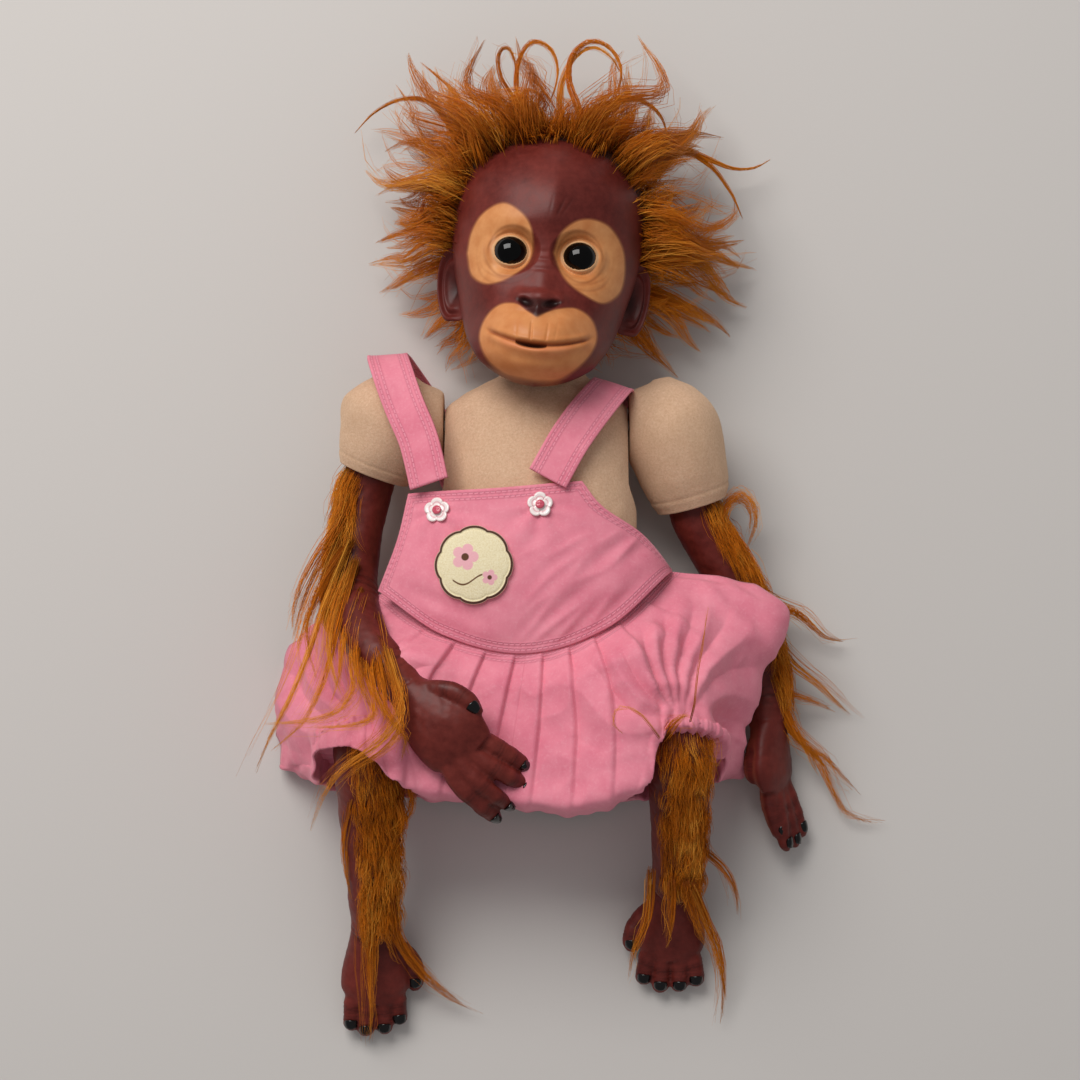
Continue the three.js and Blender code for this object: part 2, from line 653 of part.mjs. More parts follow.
// Legs: the cloth thigh's line, the vinyl leg's line, and the foot with its toes
const LEGS = {
  right: {
    thigh: [V(-72, -84, 26), V(-77, -94, 40), V(-86, -109, 58)],
    leg: [V(-92, -131, 74), V(-91, -178, 54), V(-90, -232, 26)],
    foot: [V(-90, -230, 19), V(-91, -252, 13), V(-91, -273, 9.5)],
    toes: [
      [V(-102, -268, 10), V(-104, -279, 8), V(-104, -288, 5.5)],
      [V(-95, -270, 10), V(-96, -282, 8), V(-96, -291, 5.5)],
      [V(-87, -270, 10), V(-86, -281, 8), V(-86, -290, 5.5)],
      [V(-80, -267, 10), V(-78, -277, 8), V(-77, -285, 5.5)],
    ],
    thumb: [V(-78, -243, 12), V(-70, -252, 10), V(-69, -266, 7)],
  },
  left: {
    thigh: [V(64, -84, 26), V(67, -94, 40), V(72, -109, 58)],
    leg: [V(74, -131, 74), V(75, -168, 54), V(75, -210, 26)],
    foot: [V(75, -208, 19), V(73, -229, 13), V(71, -249, 9.5)],
    toes: [
      [V(83, -245, 10), V(86, -255, 8), V(86, -264, 5.5)],
      [V(76, -247, 10), V(77, -258, 8), V(77, -267, 5.5)],
      [V(68, -247, 10), V(67, -258, 8), V(66, -267, 5.5)],
      [V(61, -244, 10), V(58, -254, 8), V(57, -263, 5.5)],
    ],
    thumb: [V(62, -222, 12), V(53, -231, 10), V(50, -245, 7)],
  },
};
const THIGH_WIDTH = [[0, 8, 8], [0.2, 18, 18], [0.6, 23, 21], [1, 20, 20]];
const LEG_WIDTH = [[0, 15, 15], [0.16, 19.5, 18], [0.4, 17.5, 17], [0.7, 15.5, 15], [1, 13.5, 13]];
const FOOT_WIDTH = [[0, 13, 13], [0.35, 16, 12.5], [0.75, 19, 10], [1, 14, 6]];
const TOE_WIDTH = [[0, 5, 5], [0.5, 4.8, 4.6], [0.85, 4.4, 4.2], [1, 2.4, 2.4]];
const BIG_TOE_WIDTH = [[0, 6, 6], [0.5, 5.6, 5.2], [0.85, 4.8, 4.4], [1, 2.6, 2.6]];

function footForm(leg, grow = 0) {
  const parts = [limb(leg.foot, FOOT_WIDTH, { sides: 8, steps: 6, grow })];
  for (const toe of leg.toes) parts.push(limb(toe, TOE_WIDTH, { sides: 5, steps: 4, grow }));
  parts.push(limb(leg.thumb, BIG_TOE_WIDTH, { sides: 5, steps: 4, grow }));
  return union(parts.map(solid));
}

function legForm(leg, grow = 0) {
  return solid(limb(limbLine(leg.thigh, leg.leg), LEG_WIDTH, { sides: 10, steps: 12, up: V(1, 0, 0), grow }));
}

function legPieces(name) {
  const leg = LEGS[name];
  const side = SIDES[name];
  const { mouth, inward } = mouthOf(leg.thigh);
  const seat = tiedSeat(mouth, inward, LEG_STUB);
  const joint = joints[`${name}_hip`];
  const inner = TORSO_MIDDLE + side * (HIP_HALF + GAP);
  const cloth = solid(limb(leg.thigh, THIGH_WIDTH, { sides: 12, steps: 8, up: V(1, 0, 0) }));
  const outside = cloth.subtract(towardsMiddle(side, inner)).subtract(below(CLOTH + GAP));
  const thigh = whole(outside.subtract(joint.limbRoom).subtract(seat.room));
  const vinyl = whole(union([legForm(leg), seat.stub, footForm(leg)]).subtract(below(0)));
  return { thigh: geometryOf(thigh), vinyl: geometryOf(vinyl), tie: seat.tie };
}

// Fur: a pad that hugs one side of a limb, with locks that hang off it
const FUR_LIFT = 6.5;
const FUR = {
  right_arm: {
    core: () => armForm(ARMS.right, GAP),
    pad: [V(-100, 2, 34), V(-106, -22, 36), V(-107, -42, 40), V(-99, -72, 72)],
    width: [[0, 5, 6], [0.3, 11, 12], [0.75, 12, 12], [1, 5, 5]],
    locks: [
      [V(-108, -8, 34), V(-126, -42, 14), V(-4, 4, 6)],
      [V(-112, -22, 34), V(-140, -70, 12), V(-5, 4, 8)],
      [V(-112, -34, 36), V(-158, -100, 8), V(-14, 4, 4)],
      [V(-112, -44, 42), V(-164, -126, 8), V(-22, 4, 8)],
      [V(-108, -56, 54), V(-132, -122, 14), V(-8, 2, 22)],
      [V(-104, -66, 66), V(-122, -112, 92), V(-4, 0, 8)],
    ],
  },
  left_arm: {
    core: () => armForm(ARMS.left, GAP),
    pad: [V(98, -12, 32), V(118, -44, 26), V(130, -82, 24), V(134, -104, 24)],
    width: [[0, 5, 5], [0.3, 11, 12], [0.75, 11, 11], [1, 4, 4]],
    locks: [
      [V(104, -14, 36), V(118, 22, 14), V(12, 4, 4)],
      [V(124, -40, 28), V(152, -78, 8), V(5, 2, 6)],
      [V(132, -60, 26), V(166, -118, 7), V(7, 2, 6)],
      [V(138, -84, 24), V(172, -152, 7), V(8, 4, 6)],
      [V(140, -96, 24), V(186, -164, 7), V(2, -10, 6)],
    ],
  },
  right_leg: {
    core: () => legForm(LEGS.right, GAP),
    pad: [V(-92, -140, 76), V(-91, -168, 64), V(-90, -200, 50), V(-89, -224, 38)],
    width: [[0, 8, 5], [0.3, 15, 14], [0.75, 13, 12], [1, 6, 5]],
    locks: [
      [V(-84, -200, 52), V(-66, -236, 22), V(2, 2, 8)],
      [V(-84, -216, 42), V(-40, -266, 8), V(4, 4, 8)],
      [V(-97, -186, 58), V(-104, -226, 34), V(-3, 0, 8)],
    ],
  },
  left_leg: {
    core: () => legForm(LEGS.left, GAP),
    pad: [V(74, -140, 76), V(75, -160, 64), V(76, -184, 49), V(76, -202, 39)],
    width: [[0, 8, 5], [0.3, 15, 14], [0.75, 13, 12], [1, 6, 5]],
    locks: [
      [V(82, -172, 58), V(100, -206, 26), V(4, 0, 6)],
      [V(80, -194, 46), V(98, -260, 8), V(8, 4, 10)],
      [V(68, -176, 56), V(56, -206, 36), V(-4, 0, 6)],
    ],
  },
};

function furPiece(name) {
  const { core, pad, width, locks } = FUR[name];
  const cover = solid(limb(pad, width, { sides: 8, steps: 5, up: V(0.2, 0.3, 1) }));
  const strands = locks.map(([root, tip, bend]) => lock(root, tip, bend, FUR_LIFT));
  const over = offset(skirtPoint, CLOTH / 2 + GAP);
  const skirt = solid(slab(over, (u, v) => over(u, v).setZ(-5), PLEAT_COLUMNS, SKIRT_ROWS));
  return geometryOf(whole(union([cover, ...strands]).subtract(core()).subtract(skirt)));
}

// Romper: heights of the cloth over the belly, wider than the body towards the waist
const WAIST_EXTRA = [
  [-90, 36, 24],
  [-50, 34, 18],
  [-20, 28, 8],
  [5, 24, 4],
  [30, 20, 4],
];

function clothHeight(x, y) {
  const middle = at(TORSO_ROWS, y, 1);
  const extra = at(WAIST_EXTRA, THREE.MathUtils.clamp(y, -90, 30), x < middle ? 1 : 2);
  const half = at(TORSO_ROWS, y, 2) + GAP + extra;
  const low = at(TORSO_ROWS, y, 3);
  const high = at(TORSO_ROWS, y, 4) + GAP + BIB_LIFT;
  const share = Math.min(Math.abs((x - middle) / half), 0.995);
  return (low + high) / 2 + ((high - low) / 2) * (1 - share ** 2.2) ** 0.46;
}

// Outline of the bib, for v from its top edge to the waist seam and u from the doll's right to its left
const BIB_LEFT = [[0, -70], [0.5, -76], [1, -86]];
const BIB_RIGHT = [[0, 22], [0.3, 33], [0.6, 54], [1, 71]];
const BIB_TOP = [[0, 2], [0.5, 3], [1, 7]];
const WAIST_SEAM = [[0, -50], [0.22, -74], [0.5, -84], [0.78, -70], [1, -38]];

function bibPoint(u, v) {
  const x = THREE.MathUtils.lerp(at(BIB_LEFT, v, 1), at(BIB_RIGHT, v, 1), u);
  const y = THREE.MathUtils.lerp(at(BIB_TOP, u, 1), at(WAIST_SEAM, u, 1), v);
  return V(x, y, clothHeight(x, y) + CLOTH / 2);
}

// Bloomers: from the waist seam out over the lap and knees and down to the hem
const HEM_X = [[0, -144], [1, 104]];
const HEM_Y = [[0, -142], [0.12, -152], [0.35, -158], [0.65, -158], [0.9, -154], [1, -146]];
const HEM_Z = [[0, 5], [0.2, 8], [0.5, 14], [0.8, 8], [1, 5]];
const SWELL_X = [[0, -26], [0.2, -6], [0.5, 0], [0.8, 10], [1, 42]];
const SWELL_Y = [[0, 14], [0.2, 6], [0.5, 0], [0.8, 8], [1, 30]];
const REACH = [[0, 0], [0.3, 0.4], [0.72, 0.93], [0.9, 1.01], [1, 1]];
const DOME = [[0, 0.93], [0.12, 0.98], [0.3, 1], [0.6, 1.02], [0.8, 0.98], [0.93, 0.55], [1, 0.08]];
const DOME_HIGH = [[0, 66], [0.2, 105], [0.33, 94], [0.5, 92], [0.62, 96], [0.8, 105], [1, 66]];
const EDGE_RIGHT = [[0, 50], [0.2, 26], [0.5, 6], [1, 5]];
const EDGE_LEFT = [[0, 52], [0.3, 48], [0.6, 42], [0.8, 14], [1, 6]];

function skirtPoint(u, v) {
  const seam = bibPoint(u, 1);
  const e = at(REACH, v, 1);
  const swell = Math.sin(Math.PI * Math.min(e, 1));
  const x = THREE.MathUtils.lerp(seam.x, at(HEM_X, u, 1), e) + at(SWELL_X, u, 1) * swell;
  const y = THREE.MathUtils.lerp(seam.y, at(HEM_Y, u, 1), e) + at(SWELL_Y, u, 1) * swell;
  const rise = Math.min(v / 0.18, 1);
  const dome = THREE.MathUtils.lerp(seam.z, at(DOME_HIGH, u, 1) * at(DOME, v, 1), rise * rise * (3 - 2 * rise));
  const edge = at(u < 0.5 ? EDGE_RIGHT : EDGE_LEFT, v, 1);
  const inner = (1 - Math.abs(2 * u - 1) ** 4) ** 0.6;
  const last = THREE.MathUtils.smoothstep(v, 0.9, 1);
  const height = THREE.MathUtils.lerp(THREE.MathUtils.lerp(edge, dome, inner), at(HEM_Z, u, 1), last);
  const fold = PLEAT_DEPTH * Math.sin(2 * Math.PI * PLEATS * u) * Math.sin(Math.PI * Math.min(v * 1.1, 1));
  return V(x, y, height + fold * inner);
}

// Body between two surfaces of u and v, closed round its edges
function slab(upper, lower, columns, rows) {
  const points = [];
  for (const surface of [upper, lower]) {
    for (let j = 0; j <= rows; j += 1) {
      for (let i = 0; i <= columns; i += 1) points.push(surface(i / columns, j / rows));
    }
  }
  const width = columns + 1;
  const layer = width * (rows + 1);
  const faces = [];
  for (let j = 0; j < rows; j += 1) {
    for (let i = 0; i < columns; i += 1) {
      const a = j * width + i;
      faces.push(a, a + width, a + 1, a + 1, a + width, a + width + 1);
      const b = a + layer;
      faces.push(b, b + 1, b + width, b + 1, b + width + 1, b + width);
    }
  }
  const rim = [];
  for (let i = 0; i < columns; i += 1) rim.push(i);
  for (let j = 0; j < rows; j += 1) rim.push(j * width + columns);
  for (let i = columns; i > 0; i -= 1) rim.push(rows * width + i);
  for (let j = rows; j > 0; j -= 1) rim.push(j * width);
  rim.forEach((a, k) => {
    const b = rim[(k + 1) % rim.length];
    faces.push(a, b, b + layer, a, b + layer, a + layer);
  });
  return closed(points, faces);
}

// Surface moved along its own outward direction
function offset(surface, distance) {
  const step = 1e-3;
  return (u, v) => {
    const [u0, u1] = [Math.max(u - step, 0), Math.min(u + step, 1)];
    const [v0, v1] = [Math.max(v - step, 0), Math.min(v + step, 1)];
    const across = surface(u1, v).sub(surface(u0, v));
    const along = surface(u, v1).sub(surface(u, v0));
    return surface(u, v).addScaledVector(along.cross(across).normalize(), distance);
  };
}

// Sheet of cloth: a surface of u and v with a thickness
function sheet(surface, columns, rows, thick) {
  return slab(offset(surface, thick / 2), offset(surface, -thick / 2), columns, rows);
}

// Leg opening of the bloomers: an oval loop round each knee
const CUFFS = {
  right: { top: V(-92, -121, 98), bottom: V(-92, -143, 34), wide: 26 },
  left: { top: V(74, -121, 98), bottom: V(74, -143, 34), wide: 26 },
};
const CUFF_STEPS = 14;
const CUFF_FLAT = 1.6;
const CUFF_REACH = 70;

function cuffFrame(cuff) {
  const middle = cuff.top.clone().add(cuff.bottom).divideScalar(2);
  const long = cuff.top.clone().sub(middle);
  const across = V(1, 0, 0);
  const out = long.clone().normalize().cross(across).normalize();
  return { middle, long, across, out: out.y > 0 ? out.negate() : out };
}

function cuffRing(cuff) {
  const { middle, long, across, out } = cuffFrame(cuff);
  const points = [];
  const faces = [];
  const tube = 4;
  for (let i = 0; i < CUFF_STEPS; i += 1) {
    const a = (2 * Math.PI * i) / CUFF_STEPS;
    const radial = across.clone().multiplyScalar(cuff.wide * Math.cos(a)).addScaledVector(long, Math.sin(a));
    const outward = radial.clone().normalize();
    for (let k = 0; k < tube; k += 1) {
      const b = (2 * Math.PI * k) / tube;
      const p = middle.clone().add(radial).addScaledVector(outward, CUFF_RADIUS * Math.cos(b));
      points.push(p.addScaledVector(out, CUFF_RADIUS * CUFF_FLAT * Math.sin(b)));
      const a0 = i * tube + k;
      const b0 = i * tube + ((k + 1) % tube);
      const n = CUFF_STEPS * tube;
      faces.push(a0, b0, (b0 + tube) % n, a0, (b0 + tube) % n, (a0 + tube) % n);
    }
  }
  return closed(points, faces);
}

// Tube that follows the loop outwards from a distance in front of it
function cuffTube(cuff, grow, start) {
  const { middle, long, across, out } = cuffFrame(cuff);
  const rings = [start, CUFF_REACH].map((d) => {
    const ring = [];
    for (let i = 0; i < CUFF_STEPS; i += 1) {
      const a = (2 * Math.PI * i) / CUFF_STEPS;
      const radial = across.clone().multiplyScalar(cuff.wide * Math.cos(a)).addScaledVector(long, Math.sin(a));
      const p = middle.clone().add(radial).addScaledVector(radial.clone().normalize(), grow);
      ring.push(p.addScaledVector(out, d));
    }
    return ring;
  });
  return solid(skin(rings));
}

// Cloth turned in round the leg, from the edge of the balloon to the elastic
function turnIn(cuff, inside) {
  const outer = cuffTube(cuff, CUFF_RADIUS + GAP + CLOTH, CUFF_RADIUS * CUFF_FLAT + GAP);
  return outer.intersect(inside);
}

function bloomers() {
  const inside = solid(slab(skirtPoint, (u, v) => skirtPoint(u, v).setZ(-5), PLEAT_COLUMNS, SKIRT_ROWS));
  let shape = solid(sheet(skirtPoint, PLEAT_COLUMNS, SKIRT_ROWS, CLOTH));
  for (const cuff of Object.values(CUFFS)) {
    shape = shape.add(turnIn(cuff, inside));
    shape = shape.subtract(cuffTube(cuff, CUFF_RADIUS + GAP, -CUFF_RADIUS * CUFF_FLAT - GAP));
  }
  const seam = solid(sheet((u, v) => bibPoint(u, 0.85 + 0.16 * v), 20, 2, CLOTH + 2 * GAP));
  shape = shape.subtract(armForm(ARMS.right, GAP)).subtract(handForm(ARMS.right, GAP));
  for (const leg of Object.values(LEGS)) shape = shape.subtract(legForm(leg, GAP));
  return geometryOf(whole(shape.subtract(below(CLOTH + GAP)).subtract(seam)));
}

function bib() {
  return sheet(bibPoint, 16, 7, CLOTH);
}

// Back panel: lies flat under the body, from between the shoulders to the hem
const BACK_EDGE = [
  [48, 6], [56, -20], [70, -42], [86, -62], [95, -84], [106, -112], [110, -132], [104, -148],
  [60, -157], [0, -160], [-60, -158], [-112, -153], [-140, -142], [-148, -104], [-132, -66],
  [-104, -54], [-84, -44], [-62, -20], [-52, 6],
];

function backPanel() {
  const outline = new THREE.Shape();
  outline.moveTo(...BACK_EDGE[0]);
  outline.splineThru(BACK_EDGE.slice(1).map(([x, y]) => new THREE.Vector2(x, y)));
  outline.closePath();
  const panel = new THREE.ExtrudeGeometry(outline, { depth: CLOTH, bevelEnabled: false, curveSegments: 2 });
  return geometryOf(solid(panel));
}

// Straps: rows of place and outward direction, from the bib over the shoulder to the back panel
const STRAPS = {
  right: [
    [V(-59, 6, 88), V(-0.35, 0, 1)],
    [V(-65, 30, 84), V(-0.3, -0.1, 1)],
    [V(-74, 52, 77), V(-0.2, 0.1, 1)],
    [V(-81, 72, 68), V(-0.1, 0.8, 0.8)],
    [V(-84, 82, 50), V(0, 1, 0.1)],
    [V(-80, 80, 26), V(0, 1, -0.4)],
    [V(-70, 66, 6), V(0, 0.5, -1)],
    [V(-58, 44, CLOTH / 2), V(0, 0, -1)],
    [V(-40, 8, CLOTH / 2), V(0, 0, -1)],
  ],
  left: [
    [V(4, 8, 94), V(0, 0, 1)],
    [V(16, 30, 89), V(0, 0.1, 1)],
    [V(29, 49, 80), V(0.1, 0.4, 1)],
    [V(38, 61, 69), V(0.2, 0.8, 0.7)],
    [V(41, 65, 48), V(0.3, 1, 0.1)],
    [V(39, 61, 22), V(0.3, 1, -0.4)],
    [V(33, 50, 5), V(0, 0.5, -1)],
    [V(26, 36, CLOTH / 2), V(0, 0, -1)],
    [V(20, 8, CLOTH / 2), V(0, 0, -1)],
  ],
};

function strap(rows) {
  const line = new THREE.CatmullRomCurve3(rows.map(([p]) => p), false, 'centripetal');
  const facing = new THREE.CatmullRomCurve3(rows.map(([, n]) => n), false, 'centripetal');
  return sheet(
    (u, v) => {
      const along = line.getTangent(v);
      const across = along.cross(facing.getPoint(v)).normalize();
      return line.getPoint(v).addScaledVector(across, (u - 0.5) * STRAP_WIDTH);
    },
    2,
    (rows.length - 1) * 2,
    CLOTH
  );
}

function strapPiece(name) {
  const inner = strap(STRAPS[name]);
  const arm = ARMS[name];
  const grown = solid(limb(arm.sleeve, arm.sleeveWidth, { sides: 12, steps: 9, grow: GAP }));
  const bibRoom = solid(sheet((u, v) => bibPoint(u, v * 0.5 - 0.02), 10, 3, CLOTH + 2 * GAP));
  let shape = solid(inner).subtract(torsoForm(GAP)).subtract(bibRoom);
  if (name === 'right') shape = shape.subtract(grown);
  const panel = block(V(-PAST, -PAST, -PAST), V(PAST, BACK_EDGE[0][1] + GAP, CLOTH + GAP));
  return geometryOf(whole(shape.subtract(solid(panel)).subtract(below(0))));
}

// A flat piece laid on the bib: rings of an outline round its middle, [bottom to edge to top]
function laidOn(x, y, { radius, thick, outline, sides, lift = 0, crown = 0 }) {
  const rings = [];
  const levels = [[0.5, 0], [1, 0], [1, 0.75], [0.86, 1], [0.45, 1]];
  for (const [share, level] of levels) {
    const ring = [];
    for (let i = 0; i < sides; i += 1) {
      const a = (2 * Math.PI * i) / sides;
      const r = radius * outline(a) * share;
      const [px, py] = [x + r * Math.sin(a), y + r * Math.cos(a)];
      const rise = level > 0.5 ? crown * (1 - share * share) : 0;
      ring.push(V(px, py, clothHeight(px, py) + CLOTH + GAP + lift + thick * level + rise));
    }
    rings.push(ring);
  }
  return skin(rings);
}

const petals = (a) => 0.82 + 0.18 * Math.abs(Math.cos(2.5 * a));
const scallops = (a) => 0.93 + 0.07 * Math.abs(Math.cos(4 * a)) ** 0.6;
const roundEdge = () => 1;
const BUTTONS = { right: [-55, -8], left: [0, -6] };
const PATCH_AT = [-35, -38];

// Materials
const finish = (color, roughness) => new THREE.MeshStandardMaterial({ color, roughness, metalness: 0 });
const VINYL = finish(0x6b2c26, 0.5);
const EYE = finish(0x050505, 0.08);
const HAIR = finish(0xbc6a18, 0.75);
const PLUSH = finish(0xc8a582, 0.95);
const COTTON = finish(0xe88698, 0.85);
const NYLON = finish(0xe8e6e0, 0.5);
const ACETAL = finish(0xf2f0ea, 0.45);
const PETAL = finish(0xf6e4e4, 0.5);
const STUD = finish(0xd2566c, 0.5);
const FELT = finish(0xf0e2c4, 0.9);

const doll = new THREE.Group();
const headGroup = new THREE.Group();
headGroup.applyMatrix4(headFrame);
doll.add(headGroup);

function add(parent, name, geometry, material) {
  const mesh = new THREE.Mesh(geometry, material);
  mesh.name = name;
  parent.add(mesh);
  return mesh;
}

add(headGroup, 'head_shell', headShell(), VINYL);
add(headGroup, 'right_eye', eye(-1), EYE);
add(headGroup, 'left_eye', eye(1), EYE);
add(headGroup, 'scalp_hair', hair(), HAIR);
add(headGroup, 'neck_tie', neck.tie, NYLON);
add(doll, 'torso_body', torso(), PLUSH);
for (const name of Object.keys(SIDES)) {
  const arm = armPieces(name);
  add(doll, `${name}_sleeve`, arm.sleeve, PLUSH);
  add(doll, `${name}_arm`, arm.vinyl, VINYL);
  add(doll, `${name}_arm_tie`, arm.tie, NYLON);
  const leg = legPieces(name);
  add(doll, `${name}_arm_fur`, furPiece(`${name}_arm`), HAIR);
  add(doll, `${name}_leg_fur`, furPiece(`${name}_leg`), HAIR);
  add(doll, `${name}_thigh`, leg.thigh, PLUSH);
  add(doll, `${name}_leg`, leg.vinyl, VINYL);
  add(doll, `${name}_leg_tie`, leg.tie, NYLON);
  for (const place of ['shoulder', 'hip']) {
    const joint = joints[`${name}_${place}`];
    add(doll, `${name}_${place}_disc`, joint.stud, ACETAL);
    add(doll, `${name}_${place}_washer`, joint.washer, ACETAL);
    add(doll, `${name}_${place}_lock`, joint.lock, NYLON);
  }
}

add(doll, 'romper_bib', bib(), COTTON);
add(doll, 'romper_bloomers', bloomers(), COTTON);
add(doll, 'romper_back', backPanel(), COTTON);
for (const name of Object.keys(SIDES)) {
  add(doll, `${name}_strap`, strapPiece(name), COTTON);
  add(doll, `${name}_leg_elastic`, cuffRing(CUFFS[name]), COTTON);
  const [x, y] = BUTTONS[name];
  const button = { radius: BUTTON_RADIUS, thick: BUTTON_THICK, outline: petals, sides: BUTTON_SIDES };
  const stud = { radius: STUD_RADIUS, thick: STUD_THICK, outline: roundEdge, sides: STUD_SIDES, crown: STUD_CROWN };
  add(doll, `${name}_button`, laidOn(x, y, button), PETAL);
  add(doll, `${name}_button_centre`, laidOn(x, y, { ...stud, lift: BUTTON_THICK + GAP }), STUD);
}
const patch = { radius: PATCH_RADIUS, thick: PATCH_THICK, outline: scallops, sides: PATCH_SIDES };
add(doll, 'bib_patch', laidOn(...PATCH_AT, { ...patch, lift: GAP, crown: PATCH_CROWN }), FELT);

// The origin is on the surface that the doll lies on, under the middle of its outline
const outline = new THREE.Box3().setFromObject(doll, true);
const centre = outline.getCenter(V(0, 0, 0));
doll.position.set(-centre.x, -centre.y, -outline.min.z);

export default doll;
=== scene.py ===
"""Looks of the ape baby doll: vinyl skin, mohair, plush and a cotton romper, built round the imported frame."""

import json
import math

import bpy
import numpy as np
from mathutils import Matrix, Vector

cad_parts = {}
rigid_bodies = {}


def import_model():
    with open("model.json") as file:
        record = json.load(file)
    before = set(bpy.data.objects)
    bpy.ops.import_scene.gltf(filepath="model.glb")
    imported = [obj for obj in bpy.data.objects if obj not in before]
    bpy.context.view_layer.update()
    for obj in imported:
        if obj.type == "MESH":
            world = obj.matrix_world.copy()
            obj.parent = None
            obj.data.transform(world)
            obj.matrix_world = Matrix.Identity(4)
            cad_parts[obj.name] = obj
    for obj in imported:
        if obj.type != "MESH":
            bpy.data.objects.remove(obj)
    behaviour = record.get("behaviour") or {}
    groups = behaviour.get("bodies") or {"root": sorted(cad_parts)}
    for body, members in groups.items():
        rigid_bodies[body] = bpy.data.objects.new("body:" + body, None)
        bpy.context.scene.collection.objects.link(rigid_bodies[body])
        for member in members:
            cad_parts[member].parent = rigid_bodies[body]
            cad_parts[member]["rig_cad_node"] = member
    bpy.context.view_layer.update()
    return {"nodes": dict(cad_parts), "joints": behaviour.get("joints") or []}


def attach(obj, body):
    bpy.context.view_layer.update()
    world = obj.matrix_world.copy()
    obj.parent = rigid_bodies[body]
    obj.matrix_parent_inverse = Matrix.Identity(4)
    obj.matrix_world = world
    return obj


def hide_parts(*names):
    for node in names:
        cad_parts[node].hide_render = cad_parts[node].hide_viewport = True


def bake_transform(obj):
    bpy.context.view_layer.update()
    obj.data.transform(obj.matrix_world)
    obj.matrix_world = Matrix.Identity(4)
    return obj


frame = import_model()
JOINT = {j["name"]: j for j in frame["joints"]}

# The doll is worked out in millimetres from the middle of its waist; SHIFT takes that to the frame
SHOULDER_RIGHT = np.array([-53.0, 44.0, 42.0])
SHIFT = np.array(JOINT["right_shoulder_swing"]["pos_m"]) * 1000 - SHOULDER_RIGHT
GAP = 0.3


# Numbers

def rows(table, t, column):
    """Smooth value of a table's column at t: a cubic through the rows with the slope of their neighbours."""
    table = np.asarray(table, float)
    x, y = table[:, 0], table[:, column]
    t = np.asarray(t, float)
    i = np.clip(np.searchsorted(x, t, side="left") - 1, 0, len(x) - 2)
    before, after = np.maximum(i - 1, 0), np.minimum(i + 2, len(x) - 1)
    span = x[i + 1] - x[i]
    u = np.clip((t - x[i]) / span, 0, 1)
    slope_a = (y[i + 1] - y[before]) / (x[i + 1] - x[before]) * span
    slope_b = (y[after] - y[i]) / (x[after] - x[i]) * span
    u2, u3 = u * u, u**3
    ends = (2 * u3 - 3 * u2 + 1) * y[i] + (3 * u2 - 2 * u3) * y[i + 1]
    return ends + (u3 - 2 * u2 + u) * slope_a + (u3 - u2) * slope_b


def step(x, low, high):
    """Smooth step from 0 at low to 1 at high."""
    t = np.clip((np.asarray(x, float) - low) / (high - low), 0, 1)
    return t * t * (3 - 2 * t)


def bump(x, middle, width):
    """Bell of height 1 at its middle, which falls off with the square of the distance over its width."""
    return np.exp(-(((np.asarray(x, float) - middle) / width) ** 2))


def turns(count):
    """Even angles once round."""
    return np.linspace(0, 2 * np.pi, count, endpoint=False)


def shares(count_v, count_u):
    """Shares of 0 to 1 down and across a grid."""
    return np.meshgrid(np.linspace(0, 1, count_v), np.linspace(0, 1, count_u), indexing="ij")


WAVES = 14


def ripple(p, seed, size):
    """Smooth noise of about -1 to 1: a sum of sine waves in random directions, each about size long."""
    random = np.random.default_rng(seed)
    wave = random.normal(size=(WAVES, p.shape[-1]))
    wave *= (2 * np.pi / size / np.linalg.norm(wave, axis=1) * random.uniform(0.6, 1.5, WAVES))[:, None]
    phase = random.uniform(0, 2 * np.pi, WAVES)
    return np.sin(p @ wave.T + phase).sum(-1) / math.sqrt(WAVES) * 0.8


def spline(points, count):
    """Evenly spaced points along a smooth line through the given ones. Each stretch is blended from the four
    nearest points, whose knots lie apart by the square root of their distances."""
    p = np.asarray(points, float)
    p = np.vstack([2 * p[0] - p[1], p, 2 * p[-1] - p[-2]])
    knots = np.concatenate([[0], np.cumsum(np.linalg.norm(np.diff(p, axis=0), axis=1) ** 0.5)])
    out = []
    for i in range(1, len(p) - 2):
        t = np.linspace(knots[i], knots[i + 1], 40, endpoint=False)[:, None]
        k = knots[i - 1 : i + 3]
        a = [((k[j + 1] - t) * p[i - 1 + j] + (t - k[j]) * p[i + j]) / (k[j + 1] - k[j]) for j in range(3)]
        b = [((k[j + 2] - t) * a[j] + (t - k[j]) * a[j + 1]) / (k[j + 2] - k[j]) for j in range(2)]
        out.append(((k[2] - t) * b[0] + (t - k[1]) * b[1]) / (k[2] - k[1]))
    line = np.vstack(out + [p[-2][None]])
    reach = np.concatenate([[0], np.cumsum(np.linalg.norm(np.diff(line, axis=0), axis=1))])
    at = np.linspace(0, reach[-1], count)
    return np.stack([np.interp(at, reach, line[:, k]) for k in range(line.shape[1])], 1)


def unit(v):
    """Vectors of length 1 in the same directions."""
    return v / np.maximum(np.linalg.norm(v, axis=-1, keepdims=True), 1e-9)


def length_of(line):
    """Length of a line of points."""
    return np.linalg.norm(np.diff(line, axis=0), axis=1).sum()


def frames(line, up):
    """Along a line: its direction, the sideways direction, and the outward one nearest to up."""
    along = unit(np.gradient(line, axis=0))
    across = unit(np.cross(along, np.broadcast_to(np.asarray(up, float), along.shape)))
    return along, across, np.cross(across, along)


# Meshes

